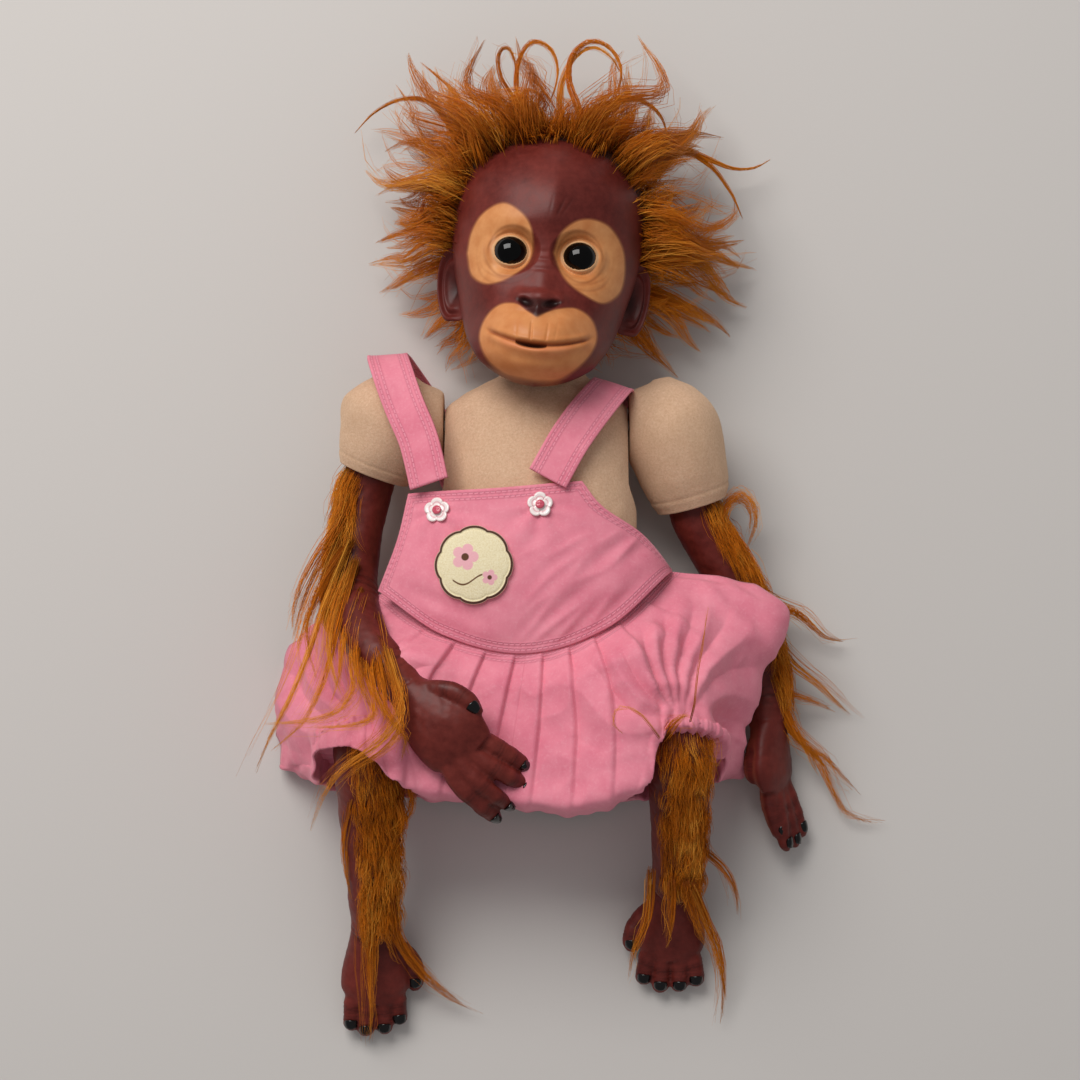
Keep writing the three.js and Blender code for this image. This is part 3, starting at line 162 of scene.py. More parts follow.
def quads(count_v, count_u, closed_u=False, closed_v=False):
    """Quads of a grid of count_v rows and count_u columns; a closed side joins its last to its first."""
    i = np.arange(count_v if closed_v else count_v - 1)[:, None]
    j = np.arange(count_u if closed_u else count_u - 1)[None, :]
    i2, j2 = (i + 1) % count_v, (j + 1) % count_u
    a, b, c, d = (r * count_u + s for r, s in ((i, j), (i, j2), (i2, j2), (i2, j)))
    return np.stack(np.broadcast_arrays(a, b, c, d), -1).reshape(-1, 4)


def piece(name, points, faces, material, to_frame=None, **fields):
    """A mesh from points in doll millimetres and faces, with number fields; unused points are left out."""
    points = np.asarray(points, float).reshape(-1, 3)
    if to_frame is not None:
        points = points @ to_frame[:3, :3].T + to_frame[:3, 3]
    data = bpy.data.meshes.new(name)
    faces = [np.asarray(f) for f in (faces if isinstance(faces, list) else [faces])]
    used, loops = np.unique(np.concatenate([f.ravel() for f in faces]), return_inverse=True)
    points, fields = points[used], {k: np.broadcast_to(v, len(points))[used] for k, v in fields.items()}
    loops = loops.ravel()
    sizes = np.concatenate([np.full(len(f), f.shape[1]) for f in faces])
    data.vertices.add(len(points))
    data.vertices.foreach_set("co", ((points + SHIFT) / 1000).ravel())
    data.loops.add(len(loops))
    data.loops.foreach_set("vertex_index", loops.astype(np.int32))
    data.polygons.add(len(sizes))
    data.polygons.foreach_set("loop_start", np.concatenate([[0], np.cumsum(sizes)[:-1]]).astype(np.int32))
    data.polygons.foreach_set("use_smooth", np.ones(len(sizes), bool))
    for key, value in fields.items():
        attribute = data.attributes.new(key, "FLOAT", "POINT")
        attribute.data.foreach_set("value", value.astype(np.float32))
    data.update(calc_edges=True)
    data.validate()
    obj = bpy.data.objects.new(name, data)
    bpy.context.scene.collection.objects.link(obj)
    data.materials.append(material)
    return obj


def capped(grid):
    """Points and faces of a tube: a grid of rings, closed at both ends with a fan."""
    count_v, count_u = grid.shape[:2]
    points = np.vstack([grid.reshape(-1, 3), grid[0].mean(0), grid[-1].mean(0)])
    low, high = count_v * count_u, count_v * count_u + 1
    j = np.arange(count_u)
    k = (j + 1) % count_u
    last = (count_v - 1) * count_u
    bottom = np.stack([np.full(count_u, low), k, j], 1)
    top = np.stack([np.full(count_u, high), last + j, last + k], 1)
    return points, [quads(count_v, count_u, closed_u=True), bottom, top]


def on_grid(value, grid, ends=(0, 0)):
    """A number for each point of a capped grid: those of its rings, then those of its two middles."""
    return np.append(np.broadcast_to(value, grid.shape[:2]), ends)


def join_parts(parts):
    """One set of points and faces from several."""
    points, faces, start = [], {3: [], 4: []}, 0
    for p, fs in parts:
        for f in fs if isinstance(fs, list) else [fs]:
            faces[f.shape[1]].append(f + start)
        points.append(p.reshape(-1, 3))
        start += len(points[-1])
    return np.vstack(points), [np.vstack(f) for f in faces.values() if f]


def tube(line, widths, up, sides, count):
    """Oval rings along a smooth line, from a table of [share of the way, half width, half thickness]."""
    path = spline(line, count)
    _, across, out = frames(path, up)
    t = np.linspace(0, 1, count)
    wide, high = rows(widths, t, 1)[:, None], rows(widths, t, 2)[:, None]
    a = turns(sides)
    sideways = across[:, None] * (wide * np.cos(a))[..., None]
    return path[:, None] + (sideways + out[:, None] * (high * np.sin(a))[..., None])


def evaluated(obj):
    """The mesh that a piece's modifiers make; they are taken off it."""
    data = bpy.data.meshes.new_from_object(obj.evaluated_get(bpy.context.evaluated_depsgraph_get()))
    obj.modifiers.clear()
    return data


SKIN_VOXEL, SKIN_ROUNDS, SKIN_FLOOR = 0.93, 5, 0.15


def skin_over(name, parts, material):
    """One skin over several overlapping closed forms: they are voxel-remeshed together and smoothed."""
    obj = piece(name, *join_parts(parts), material)
    remesh = obj.modifiers.new("skin", "REMESH")
    remesh.mode, remesh.voxel_size, remesh.use_smooth_shade = "VOXEL", SKIN_VOXEL / 1000, True
    smooth = obj.modifiers.new("even", "SMOOTH")
    smooth.factor, smooth.iterations = 0.5, SKIN_ROUNDS
    obj.data = evaluated(obj)
    obj.data.materials.clear()
    obj.data.materials.append(material)
    return obj


def place_of(obj):
    """Points of a piece in doll millimetres."""
    co = np.empty(len(obj.data.vertices) * 3)
    obj.data.vertices.foreach_get("co", co)
    return co.reshape(-1, 3) * 1000 - SHIFT


def move_to(obj, points):
    """Puts a piece's points at places in doll millimetres."""
    obj.data.vertices.foreach_set("co", ((points + SHIFT) / 1000).ravel())
    obj.data.update()


def normals_of(obj):
    """Outward unit vectors at a piece's points."""
    out = np.empty(len(obj.data.vertices) * 3)
    obj.data.vertex_normals.foreach_get("vector", out)
    return out.reshape(-1, 3)


def field(obj, key, value):
    """Gives a piece a number at each point, for its material to read."""
    attribute = obj.data.attributes.get(key) or obj.data.attributes.new(key, "FLOAT", "POINT")
    attribute.data.foreach_set(
        "value", np.broadcast_to(value, len(obj.data.vertices)).astype(np.float32).ravel()
    )


# Camera, light and floor

CAMERA_ELEVATION = math.radians(84)
CAMERA_DISTANCE = 1400.0
FRAME_WIDTH = 612.0
PHOTO_WIDTH = 1080
CAMERA_LOOK = np.array([0.0, -15.0, 0.0])
CAMERA_WAY = np.array([0, -math.cos(CAMERA_ELEVATION), math.sin(CAMERA_ELEVATION)])
CAMERA_AT = CAMERA_LOOK + CAMERA_WAY * CAMERA_DISTANCE


def srgb(r, g, b):
    """Linear colour of an sRGB one in 0 to 255."""
    c = np.array([r, g, b], float) / 255
    return (*np.where(c <= 0.04045, c / 12.92, ((c + 0.055) / 1.055) ** 2.4), 1.0)


def aim(obj, place, target):
    """Points a camera or a lamp at its target, with its own X along the frame's X."""
    back = (Vector(np.asarray(place, float)) - Vector(np.asarray(target, float))).normalized()
    right = (Vector((1, 0, 0)) - back * back.x).normalized()
    obj.location = Vector((np.asarray(place) + SHIFT) / 1000)
    obj.rotation_euler = Matrix((right, back.cross(right), back)).transposed().to_euler()


def make_camera():
    """The photograph's camera: high over the doll, a little from its feet, FRAME_WIDTH wide at the floor."""
    data = bpy.data.cameras.new("camera")
    data.sensor_width = 36
    data.sensor_fit = "HORIZONTAL"
    data.angle = 2 * math.atan(FRAME_WIDTH / 2 / CAMERA_DISTANCE)
    data.clip_end = 20
    camera = bpy.data.objects.new("camera", data)
    bpy.context.scene.collection.objects.link(camera)
    aim(camera, CAMERA_AT, CAMERA_LOOK)
    bpy.context.scene.camera = camera


def make_lamp(name, place, width, height, power, colour, target):
    """A rectangular lamp that faces its target; its place is in doll millimetres, its size in metres."""
    data = bpy.data.lights.new(name, "AREA")
    data.shape, data.size, data.size_y = "RECTANGLE", width, height
    data.energy, data.color = power, colour
    lamp = bpy.data.objects.new(name, data)
    bpy.context.scene.collection.objects.link(lamp)
    aim(lamp, place, target)


def make_stage():
    """A pale floor under the doll and soft studio light, mostly from the upper left."""
    half, low = 4.0, -0.0004
    corners = [(x * half, y * half, low) for x, y in ((-1, -1), (1, -1), (1, 1), (-1, 1))]
    data = bpy.data.meshes.new("floor")
    data.from_pydata(corners, [], [(0, 1, 2, 3)])
    floor = bpy.data.objects.new("floor", data)
    bpy.context.scene.collection.objects.link(floor)
    data.materials.append(plain("floor", (0.60, 0.565, 0.54, 1), 0.9))
    make_lamp("window", (-740, 1150, 1640), 1.45, 1.05, 35.0, (1, 0.985, 0.96), (0, 60, 60))
    world = bpy.data.worlds.new("world")
    world.use_nodes = True
    sky = world.node_tree.nodes["Background"]
    sky.inputs[0].default_value = (0.78, 0.79, 0.8, 1)
    recipe = Recipe(world.node_tree)
    mirrored = recipe.add("ShaderNodeLightPath", out="Is Glossy Ray")
    recipe.feed(sky.inputs[1], recipe.ramp(mirrored, (0, 0.46), (1, 0.16)))
    bpy.context.scene.world = world
    bpy.context.scene.view_settings.view_transform = "Standard"


# Materials

def plain(name, colour, roughness):
    """A material of one colour."""
    material = bpy.data.materials.new(name)
    material.use_nodes = True
    shader = material.node_tree.nodes["Principled BSDF"]
    shader.inputs["Base Color"].default_value = colour
    shader.inputs["Roughness"].default_value = roughness
    return material


class Recipe:
    """Writes the nodes of a material or group: a call adds a node, feeds it and returns its output."""

    def __init__(self, tree):
        self.tree = tree

    def add(self, kind, *given, out=0, **settings):
        """A node with its settings, where in_ before a number or name means an input; returns one output."""
        node = self.tree.nodes.new(kind)
        inputs = {k[3:]: v for k, v in settings.items() if k.startswith("in_")}
        for key, value in settings.items():
            if not key.startswith("in_"):
                setattr(node, key, value)
        for index, value in enumerate(given):
            self.feed(node.inputs[index], value)
        for key, value in inputs.items():
            self.feed(node.inputs[int(key)] if key.isdigit() else node.inputs[key.replace("_", " ")], value)
        return node if out is None else node.outputs[out]

    def feed(self, socket, value):
        """Gives a socket a link or a plain value."""
        if value is None:
            return
        if isinstance(value, bpy.types.NodeSocket):
            self.tree.links.new(value, socket)
        else:
            socket.default_value = value

    def math(self, operation, a, b=None, c=None):
        """One arithmetic step, clear of any limit."""
        return self.add("ShaderNodeMath", a, b, c, operation=operation)

    def times(self, a, b):
        """The product a b."""
        return self.math("MULTIPLY", a, b)

    def plus(self, a, b):
        """The sum a + b."""
        return self.math("ADD", a, b)

    def minus(self, a, b):
        """The difference a - b."""
        return self.math("SUBTRACT", a, b)

    def mix(self, factor, a, b):
        """Colour a where factor is 0, colour b where it is 1."""
        return self.add("ShaderNodeMix", out=2, data_type="RGBA", in_0=factor, in_6=a, in_7=b)

    def paint(self, colour, mask, share, tint):
        """A colour with a share of a tint over it where the mask is 1."""
        return self.mix(self.times(mask, share), colour, srgb(*tint))

    def ramp(self, value, low, high):
        """Maps a value from the [place, height] of low to that of high in a straight line, and no further."""
        return self.add("ShaderNodeMapRange", value, low[0], high[0], low[1], high[1], clamp=True)

    def field(self, name):
        """A number that the piece has at each point."""
        return self.add("ShaderNodeAttribute", attribute_name=name, out=2)

    def place(self):
        """The point's place on the piece itself, in metres."""
        return self.add("ShaderNodeTexCoord", out=3)

    def noise(self, where, scale, detail=3.0, rough=0.55):
        """Soft noise of about 0.3 to 0.7, scale waves to the metre, with finer layers as detail says."""
        kind = "ShaderNodeTexNoise"
        return self.add(kind, in_Vector=where, in_Scale=scale, in_Detail=detail, in_Roughness=rough)

    def bump(self, height, strength, distance):
        """Surface directions of a fine relief: distance is the depth in metres of a height of 1."""
        return self.add("ShaderNodeBump", in_Strength=strength, in_Distance=distance, in_Height=height)


def make_group(name, inputs, outputs, build):
    """A node group with named number or colour inputs and outputs, built once."""
    tree = bpy.data.node_groups.new(name, "ShaderNodeTree")
    kinds = {"value": "NodeSocketFloat", "colour": "NodeSocketColor", "vector": "NodeSocketVector"}
    for label, kind, start in inputs:
        socket = tree.interface.new_socket(label, in_out="INPUT", socket_type=kinds[kind])
        socket.default_value = start
    for label, kind in outputs:
        tree.interface.new_socket(label, in_out="OUTPUT", socket_type=kinds[kind])
    recipe = Recipe(tree)
    source = tree.nodes.new("NodeGroupInput")
    target = tree.nodes.new("NodeGroupOutput")
    results = build(recipe, {s.name: s for s in source.outputs})
    for label, _ in outputs:
        tree.links.new(results[label], target.inputs[label])
    return tree


def use_group(recipe, tree, **values):
    """Outputs of a node group in a material, fed with the given values."""
    node = recipe.tree.nodes.new("ShaderNodeGroup")
    node.node_tree = tree
    for key, value in values.items():
        recipe.feed(node.inputs[key.replace("_", " ")], value)
    return node.outputs


def material(name, build, **settings):
    """A material: build gets the recipe and returns what feeds the sockets, settings are constants."""
    made = bpy.data.materials.new(name)
    made.use_nodes = True
    shader = made.node_tree.nodes["Principled BSDF"]
    recipe = Recipe(made.node_tree)
    for key, value in settings.items():
        shader.inputs[key.replace("_", " ")].default_value = value
    for key, value in build(recipe).items():
        recipe.feed(shader.inputs[key.replace("_", " ")], value)
    return made


# Head

HEAD_AT = np.array([3.0, 130.0, 61.2])
HEAD_ROLL = math.radians(-5)
HEAD = np.array([
    [math.cos(HEAD_ROLL), -math.sin(HEAD_ROLL), 0, HEAD_AT[0]],
    [math.sin(HEAD_ROLL), math.cos(HEAD_ROLL), 0, HEAD_AT[1]],
    [0, 0, 1, HEAD_AT[2]],
])
EYE_SPREAD, EYE_HEIGHT, EYE_DEPTH, EYE_RADIUS = 18.4, -3.0, 38.0, 9.6
LID_OPEN = 8.7
HEAD_LOW, HEAD_TALL = -73, 147
EAR_HEIGHT = -17.0
# y, middle x, half width, low z and high z of the head's sections
HEAD_ROWS = [
    [-73, 0, 0, 28, 34], [-70, 0, 15, 16, 46], [-62, 0, 29, 6, 53], [-54, 0, 35, -4, 55],
    [-47, 0, 38.5, -16, 55], [-38, 0, 41.5, -34, 53], [-25, 0, 45, -46, 51], [-5, 0, 50, -54, 50],
    [15, 0, 53, -57.5, 51], [35, 0, 52, -56, 48], [52, 0, 45, -48, 38], [64, 0, 31, -33, 24],
    [71, 0, 15, -15, 8], [74, 0, 0, -3, -1],
]
# Soft mounds and hollows of the face: x, y, half width, half height, how far out
FACE = [
    [0, -55, 27, 15, 9.5], [-12, -45, 12, 9, 2.6], [12, -45, 12, 9, 2.6], [0, -66, 18, 8, 3],
    [0, -34, 9, 6, 4.2], [0, -20, 6, 12, 1.8], [-18.4, 13, 15, 6, 0.9], [18.4, 13, 15, 6, 0.9],
    [-18.4, -3, 15, 13, -2.7], [18.4, -3, 15, 13, -2.7], [-30, -22, 12, 11, 1.6], [30, -22, 12, 11, 1.6],
]
# The finer ones: glabella, nose shelf and wings, upper lips, chin crease, cheek hollows beside the muzzle
FACE_DETAIL = [
    [2, 22, 7, 13, 1.2], [-7, 25, 5, 10, 0.5], [0, -27, 11, 2.4, 1.9], [-11.2, -29, 4.0, 4.6, 1.9],
    [11.2, -29, 4.0, 4.6, 1.9],
    [-1.5, -35, 2.6, 5, 1.5], [-15, -39, 9, 6, 1.6], [14, -39, 9, 6, 1.6], [-1, -70, 14, 2.4, -0.7],
    [-36, -40, 6, 9, -1.4], [36, -40, 6, 9, -1.4], [0, -7.5, 6, 1.2, -0.5], [0, -13, 7, 1.3, -0.6],
    [0, -3.5, 5, 1.2, -0.3], [-9, -38, 5, 2.4, -1.2], [8, -38, 5, 2.4, -1.2],
]
# Outlines of the tan paint, from the middle of each eye and from the middle of the muzzle
PATCHES = {
    -1: [
        [-23.8, 0], [-22.4, 10.5], [-17, 19.8], [-6.2, 25], [4, 19.6], [10, 11.5], [11.6, 0], [8, -9],
        [-3, -17.4], [-12, -18.4], [-20, -12.6]
    ],
    1: [
        [-14, 0], [-11.2, 9.6], [-3.5, 17.2], [5, 19.8], [14.5, 18], [22.4, 9.6], [25, -2], [23.2, -14],
        [14.5, -23], [4, -21], [-7, -13.8]
    ],
}
MUZZLE_AT = np.array([0.5, -53.0])
MUZZLE = [
    [-2.2, 12.6], [-6.8, 15.4], [-13, 19.6], [-20.5, 20], [-27, 15.6], [-30.8, 8], [-31, 0], [-26.5, -9],
    [-17, -16], [-6, -18.6],
    [4, -18.8], [13, -17], [22, -10.6], [28.6, -1.6], [30.8, 8], [27.4, 16.4], [18.5, 20.6], [10, 18.6],
    [3.4, 15.6],
]


def face_push(x, y):
    """How far the face stands out from the plain sections: the sum of its mounds and hollows, each a bell."""
    return sum(
        out * np.exp(-((x - px) / w) ** 2 - ((y - py) / h) ** 2) for px, py, w, h, out in FACE + FACE_DETAIL
    )


def mouth_line(x):
    """Height of the closed mouth across the muzzle: a smile that turns up at its corners."""
    return -56.3 + 8.6 * ((x - 0.6) / 27) ** 2


def mouth_slit(x):
    """How far the lips part across the mouth, from 0 to 1: a lens a little left of the middle."""
    return np.sqrt(np.clip(1 - ((x + 2.7) / 8.3) ** 2, 0, 1))


def lip_relief(x, y):
    """Groove of the mouth, its open slit, the rolled lower lip and the creases under the nose."""
    end = 1 - step(np.abs(x - 0.6), 23, 29)
    d = y - mouth_line(x)
    slit = mouth_slit(x)
    out = -1.9 * bump(d, 0, 0.95) * end - 5.0 * slit * bump(d, -0.4, 0.45 + 1.0 * slit)
    out += 1.3 * bump(d, -3.4, 2.0) * end + 0.8 * bump(d, 2.4, 1.6) * end
    out -= 0.7 * bump(d, -7.6, 2.2) * end * (1 - step(np.abs(x), 8, 20))
    above = step(d, 1, 3) * (1 - step(d, 10, 14))
    for place, lean, deep in ((-3.2, 0.02, 0.8), (-11, 0.04, 0.3), (4.6, -0.06, 0.35), (9, -0.1, 0.15)):
        out -= deep * bump(x - place + lean * d, 0, 0.75) * above
    corner = np.minimum(np.hypot(x + 25.8, y + 48.0), np.hypot(x - 28.0, y + 47.6))
    return out - 0.8 * bump(corner, 0, 2.4)


def nostrils(x, y):
    """Depth of the two nostrils, slanted ovals under the wings of the nose, from 0 to 1."""
    out = 0
    for side in (-1, 1):
        u, v = x + 0.8 - side * 6.6, y + 32.4
        a = u * math.cos(0.42) + side * v * math.sin(0.42)
        b = -side * u * math.sin(0.42) + v * math.cos(0.42)
        out = out + np.exp(-(((a / 4.2) ** 2 + (b / 2.1) ** 2) ** 1.6))
    return out


def nose_shade(x, y):
    """The dark underside of the nose: a triangle that stands on its tip, from 0 to 1."""
    half = 13.0 * np.clip((y + 41.5) / 11, 0, 1)
    return step(half - np.abs(x + 0.8), -1.5, 1.5) * (1 - step(y, -31.5, -28.0)) * step(y, -42.5, -40.0)


def wrinkles(x, y):
    """Fine creases: rays and arcs in the skin round the eyes, and frown lines over the nose."""
    out = 0
    for side in (-1, 1):
        u, v = side * (x - side * EYE_SPREAD), y - EYE_HEIGHT
        r, a = np.hypot(u, v), np.arctan2(v, u)
        under = bump(a, -1.15, 1.0)
        for ring, deep in ((13.4, 0.30), (15.6, 0.16), (18.2, 0.18)):
            wobble = ring + 0.6 * np.sin(4 * a + ring) + 1.8 * (np.cos(a + 0.9) - 0.4)
            out = out + deep * bump(r, wobble, 0.7) * under
        upper = 0.25 + 0.75 * step(np.sin(a), -0.2, 0.5)
        out = out + 0.26 * bump(r - 12.0 - 0.6 * np.sin(a), 0, 0.6) * upper
        out = out + 0.22 * bump(r, 10.7, 0.4) * step(np.sin(a) - 0.4 * np.cos(a), -0.3, 0.6)
    for place, lean, deep in ((13, 0.35, 0.25), (16, 0.5, 0.18), (8, 0.12, 0.12)):
        out = out + deep * bump(x - place + 7 - lean * (y - 20), 0, 0.8) * bump(y, 21, 5)
    return out


def lid_distance(x, y, side):
    """Distance from an eye's middle, drawn so that the lids' oval opening lies at LID_OPEN."""
    u, v = x - side * EYE_SPREAD, y - EYE_HEIGHT
    return np.hypot(u, v * np.where(v > 0, 1.24, 1.16))


def eye_relief(x, y, z):
    """Skin round the eyes: it lies on each ball as a thin lid with a rounded edge, and dives behind it."""
    for side in (-1, 1):
        r = lid_distance(x, y, side)
        away = np.hypot(x - side * EYE_SPREAD, y - EYE_HEIGHT)
        ball = EYE_DEPTH + np.sqrt(np.clip(EYE_RADIUS**2 - np.minimum(away, 9.3) ** 2, 0, None))
        lid = ball + 0.55 + 0.35 * bump(r - LID_OPEN, 0.7, 0.6) + 0.25 * step(r, 9, 12)
        lid = lid - 0.5 * bump(r, LID_OPEN, 0.3) - 11 * step(LID_OPEN - r, 0, 1.2)
        w = 1 - step(r, 9.8, 16.5)
        z = z * (1 - w) + lid * w
    return z


def outline_mask(x, y, middle, outline, soft):
    """1 inside a smooth outline round a middle, 0 outside: its radius is read off at each point's angle."""
    ring = spline(outline + outline[:1], 240)
    angle = np.arctan2(ring[:, 1], ring[:, 0])
    order = np.argsort(angle)
    u, v = x - middle[0], y - middle[1]
    edge = np.interp(
        np.arctan2(v, u), angle[order], np.hypot(ring[:, 0], ring[:, 1])[order], period=2 * np.pi
    )
    return 1 - step(np.hypot(u, v) - edge, -soft, soft)


def patch_edges(x, y):
    """Masks of the tan paint: the two egg-shaped patches round the eyes and the heart of the muzzle."""
    eyes = 0
    for side, outline in PATCHES.items():
        eyes = np.maximum(eyes, outline_mask(x, y, (side * EYE_SPREAD, EYE_HEIGHT), outline, 0.9))
    return eyes, outline_mask(x, y, MUZZLE_AT, MUZZLE, 0.9)


def head_sections(y, a, grow):
    """Point of the head's sections at height y and angle a from the face, grown outwards."""
    half = np.maximum(rows(HEAD_ROWS, y, 2), 0.3) + grow
    low, high = rows(HEAD_ROWS, y, 3) - grow, rows(HEAD_ROWS, y, 4) + grow
    x, z = half * np.sin(a), (low + high) / 2 + (high - low) / 2 * np.cos(a)
    return x, y, z


def head_grid(count_v, count_u, grow=0.0, detail=True):
    """The head as a grid: rows up the head, and columns round it that crowd on the face."""
    s = np.arange(count_u) / count_u - 0.5
    a = 2 * np.pi * s - (0.62 * np.sin(2 * np.pi * s) if detail else 0)
    v = np.linspace(0, 1, count_v)
    ends = (1 - np.cos(np.pi * np.clip(v, 0, 1))) / 2
    y = HEAD_LOW + HEAD_TALL * (0.72 * v + 0.28 * ends)
    y, a = np.meshgrid(y, a, indexing="ij")
    x, y, z = head_sections(y, a, grow)
    front = step(z, 5, 30)
    z = z + face_push(x, y) * front
    if detail:
        sharp = 0.4 + 0.07 * np.clip(58 - y, 0, 50)
        crest = 1.5 * np.exp(-np.hypot(x - 3, sharp) / 10) * step(y, 6, 20) * (1 - step(y, 48, 62))
        z = z + crest * front
        shaped = eye_relief(x, y, z + (lip_relief(x, y) - 2.8 * nostrils(x, y) - wrinkles(x, y)) * front)
        z = np.where(front > 0, z * (1 - front) + shaped * front, z)
    return np.stack([x, y + grow * (2 * v[:, None] - 1), z], -1)


def make_head(vinyl):
    """Head: the face grid, with number fields that say where each tint goes, all 0 behind the face."""
    grid = head_grid(285, 330)
    x, y, z = np.moveaxis(grid, -1, 0)
    front = step(z, 8, 22)
    eyes, muzzle = patch_edges(x, y)
    d = y - mouth_line(x)
    lip = bump(d, 0, 1) * (1 - step(np.abs(x - 0.6), 23, 29))
    # The lower field is a paler band on the rolled lower lip: partly its lighter paint, partly a painted
    # highlight.
    lower = bump(d, -2.6, 1.6) * (1 - step(np.abs(x + 1), 14, 24))
    r = np.minimum(lid_distance(x, y, -1), lid_distance(x, y, 1))
    values = {
        "patch": np.maximum(eyes, muzzle), "muzzle": muzzle, "lip": lip,
        # The slit field is painted shade: near black inside the parted lips.
        "slit": mouth_slit(x) * bump(d, -0.4, 1.3),
        # The crease field is painted shade: the skin's wrinkles darkened, round the eyes and over the nose.
        "lower": lower, "crease": np.clip(wrinkles(x, y) * 2.6, 0, 1),
        # Painted shade in the nostrils, near black.
        "hole": np.clip(nostrils(x, y), 0, 1),
        # The socket field is painted shade: a darker ring in the hollow above each eye.
        "socket": bump(r, 12.2, 0.7) * step(y, -8, 2), "rim": bump(r, LID_OPEN + 0.7, 0.9),
        "nose": nose_shade(x, y),
        # Painted shade: the forehead right of its crest is darkened as the shade of that side, softer lower
        # down.
        "dim": step((x - 3) / (0.9 + 0.14 * np.clip(58 - y, 0, 60)), -1, 1) * step(y, 4, 16),
    }
    values = {k: on_grid(v * front, grid) for k, v in values.items()}
    return piece("head", *capped(grid), vinyl, to_frame=HEAD, **values)


def make_ear(side, vinyl):
    """Ear: a cupped leaf with a rolled rim, an inner fold and a hollow darkened with painted shade, whose plane
    leans back.
    """
    count_r, count_a = 38, 84
    rho = np.linspace(0, 1, count_r)[:, None]
    a = turns(count_a)[None, :]
    tall = 24 * (1 + 0.06 * np.cos(2 * a))
    wide = 11.5 * (1 + 0.12 * np.sin(a))
    lobe = 1 - 0.18 * bump(a - 1.5 * np.pi, 0, 0.7)
    along = rho * tall * np.sin(a) * lobe
    across = rho * wide * np.cos(a) * lobe
    outer = step(np.cos(a), -0.75, 0.1)
    height = -3.2 * bump(rho, 0, 0.42) + 1.2 * bump(rho, 0.62, 0.1) * outer
    height = height + 2.1 * bump(rho, 0.93, 0.1) * outer - 0.8 * bump(rho, 0.78, 0.07) * outer
    height = height + 0.9 * np.exp(-((across + 3.5) / 1.8) ** 2 - ((along + 2) / 4) ** 2)
    front = np.stack([np.broadcast_to(v, along.shape) for v in (across, along, height)], -1)
    back = front[::-1].copy()
    back[..., 2] = (
        np.minimum(back[..., 2], 1.5) * 0.5 - 2.4 * np.sqrt(np.clip(1 - rho[::-1] ** 4, 0, 1)) - 0.4
    )
    grid = np.vstack([front[1:], back[1:-1]])
    n = np.array([side * 0.60, 0, 0.80])
    e = np.array([side * 0.80, 0, -0.60])
    place = np.array([side * 48.3, EAR_HEIGHT, 1.0])
    tall_way = np.array([side * 0.06, 1, 0.05])
    points, faces = capped(place + grid[..., :1] * e + grid[..., 1:2] * tall_way + grid[..., 2:] * n)
    if side < 0:
        faces = [f[:, ::-1] for f in faces]
    # Painted shade in the ear's hollow, strongest at its middle.
    hollow = on_grid(np.vstack([bump(rho[1:], 0, 0.5), 0 * rho[1:-1]]), grid, [1, 0])
    name = "left_ear" if side > 0 else "right_ear"
    # Painted shade darkens the whole ear.
    return piece(name, points, faces, vinyl, to_frame=HEAD, hole=hollow * 0.85, patch=0.0, dim=1.0)


def make_eye(side, gloss):
    """Eye: a polished half ball, with its flat back in the head."""
    a = turns(72)[None, :]
    b = np.linspace(0.02, math.acos(-3 / EYE_RADIUS), 40)[:, None]
    ball = (
        np.stack([np.sin(b) * np.cos(a), np.sin(b) * np.sin(a), np.cos(b) + 0 * a], -1) * (EYE_RADIUS - 0.1)
    )
    ball = ball + np.array([side * EYE_SPREAD, EYE_HEIGHT, EYE_DEPTH])
    return piece("left_eyeball" if side > 0 else "right_eyeball", *capped(ball), gloss, to_frame=HEAD)


# Body of plush

TORSO_MIDDLE, SHOULDER_HALF, HIP_HALF = -2.0, 50.5, 50.5
TORSO_LOW, TORSO_TALL, BODY_FLOOR = -124, 212, 2.6
# y, middle x, half width, low z and high z of the stuffed body's sections
TORSO_ROWS = [
    [-124, -2, 0, 30, 36], [-118, -2, 34, 10, 56], [-100, -2, 51, 3, 74], [-75, -2, 56, 2, 86],
    [-40, -2, 58, 2, 92], [0, -2, 55, 2, 89], [30, -2, 53, 2, 83], [50, -2, 52, 4, 75], [57, -2, 47, 7, 70],
    [62, -1, 40, 10, 67], [67, 0, 31, 14, 64], [71, 2, 24, 17, 63], [79, 3, 20, 20, 64],
    [85, 3, 15, 24, 60],
    [88, 3, 0, 40, 44],
]


def torso_grid(count_v, count_u):
    """The stuffed body as rings up its height, which crowd at both ends and are squarer than ovals."""
    t = np.linspace(0, 1, count_v)
    y = TORSO_LOW + TORSO_TALL * (0.6 * t + 0.4 * (1 - np.cos(np.pi * t)) / 2)
    y, a = np.meshgrid(y, turns(count_u), indexing="ij")
    half = np.maximum(rows(TORSO_ROWS, y, 2), 0.3)
    low, high = rows(TORSO_ROWS, y, 3), rows(TORSO_ROWS, y, 4)
    s, c = np.sin(a), np.cos(a)
    s, c = np.sign(s) * np.abs(s) ** 0.9, np.sign(c) * np.abs(c) ** 0.9
    x = rows(TORSO_ROWS, y, 1) + half * s
    z = np.maximum((low + high) / 2 + (high - low) / 2 * c, BODY_FLOOR)
    return np.stack([x, y, z], -1)


def carve(obj, *cutters):
    """Cuts other closed forms out of a piece, for good."""
    for cutter in cutters:
        cut = obj.modifiers.new("cut", "BOOLEAN")
        cut.operation, cut.solver, cut.object = "DIFFERENCE", "EXACT", cutter
    obj.data = evaluated(obj)
    for cutter in cutters:
        bpy.data.objects.remove(cutter)
    return obj


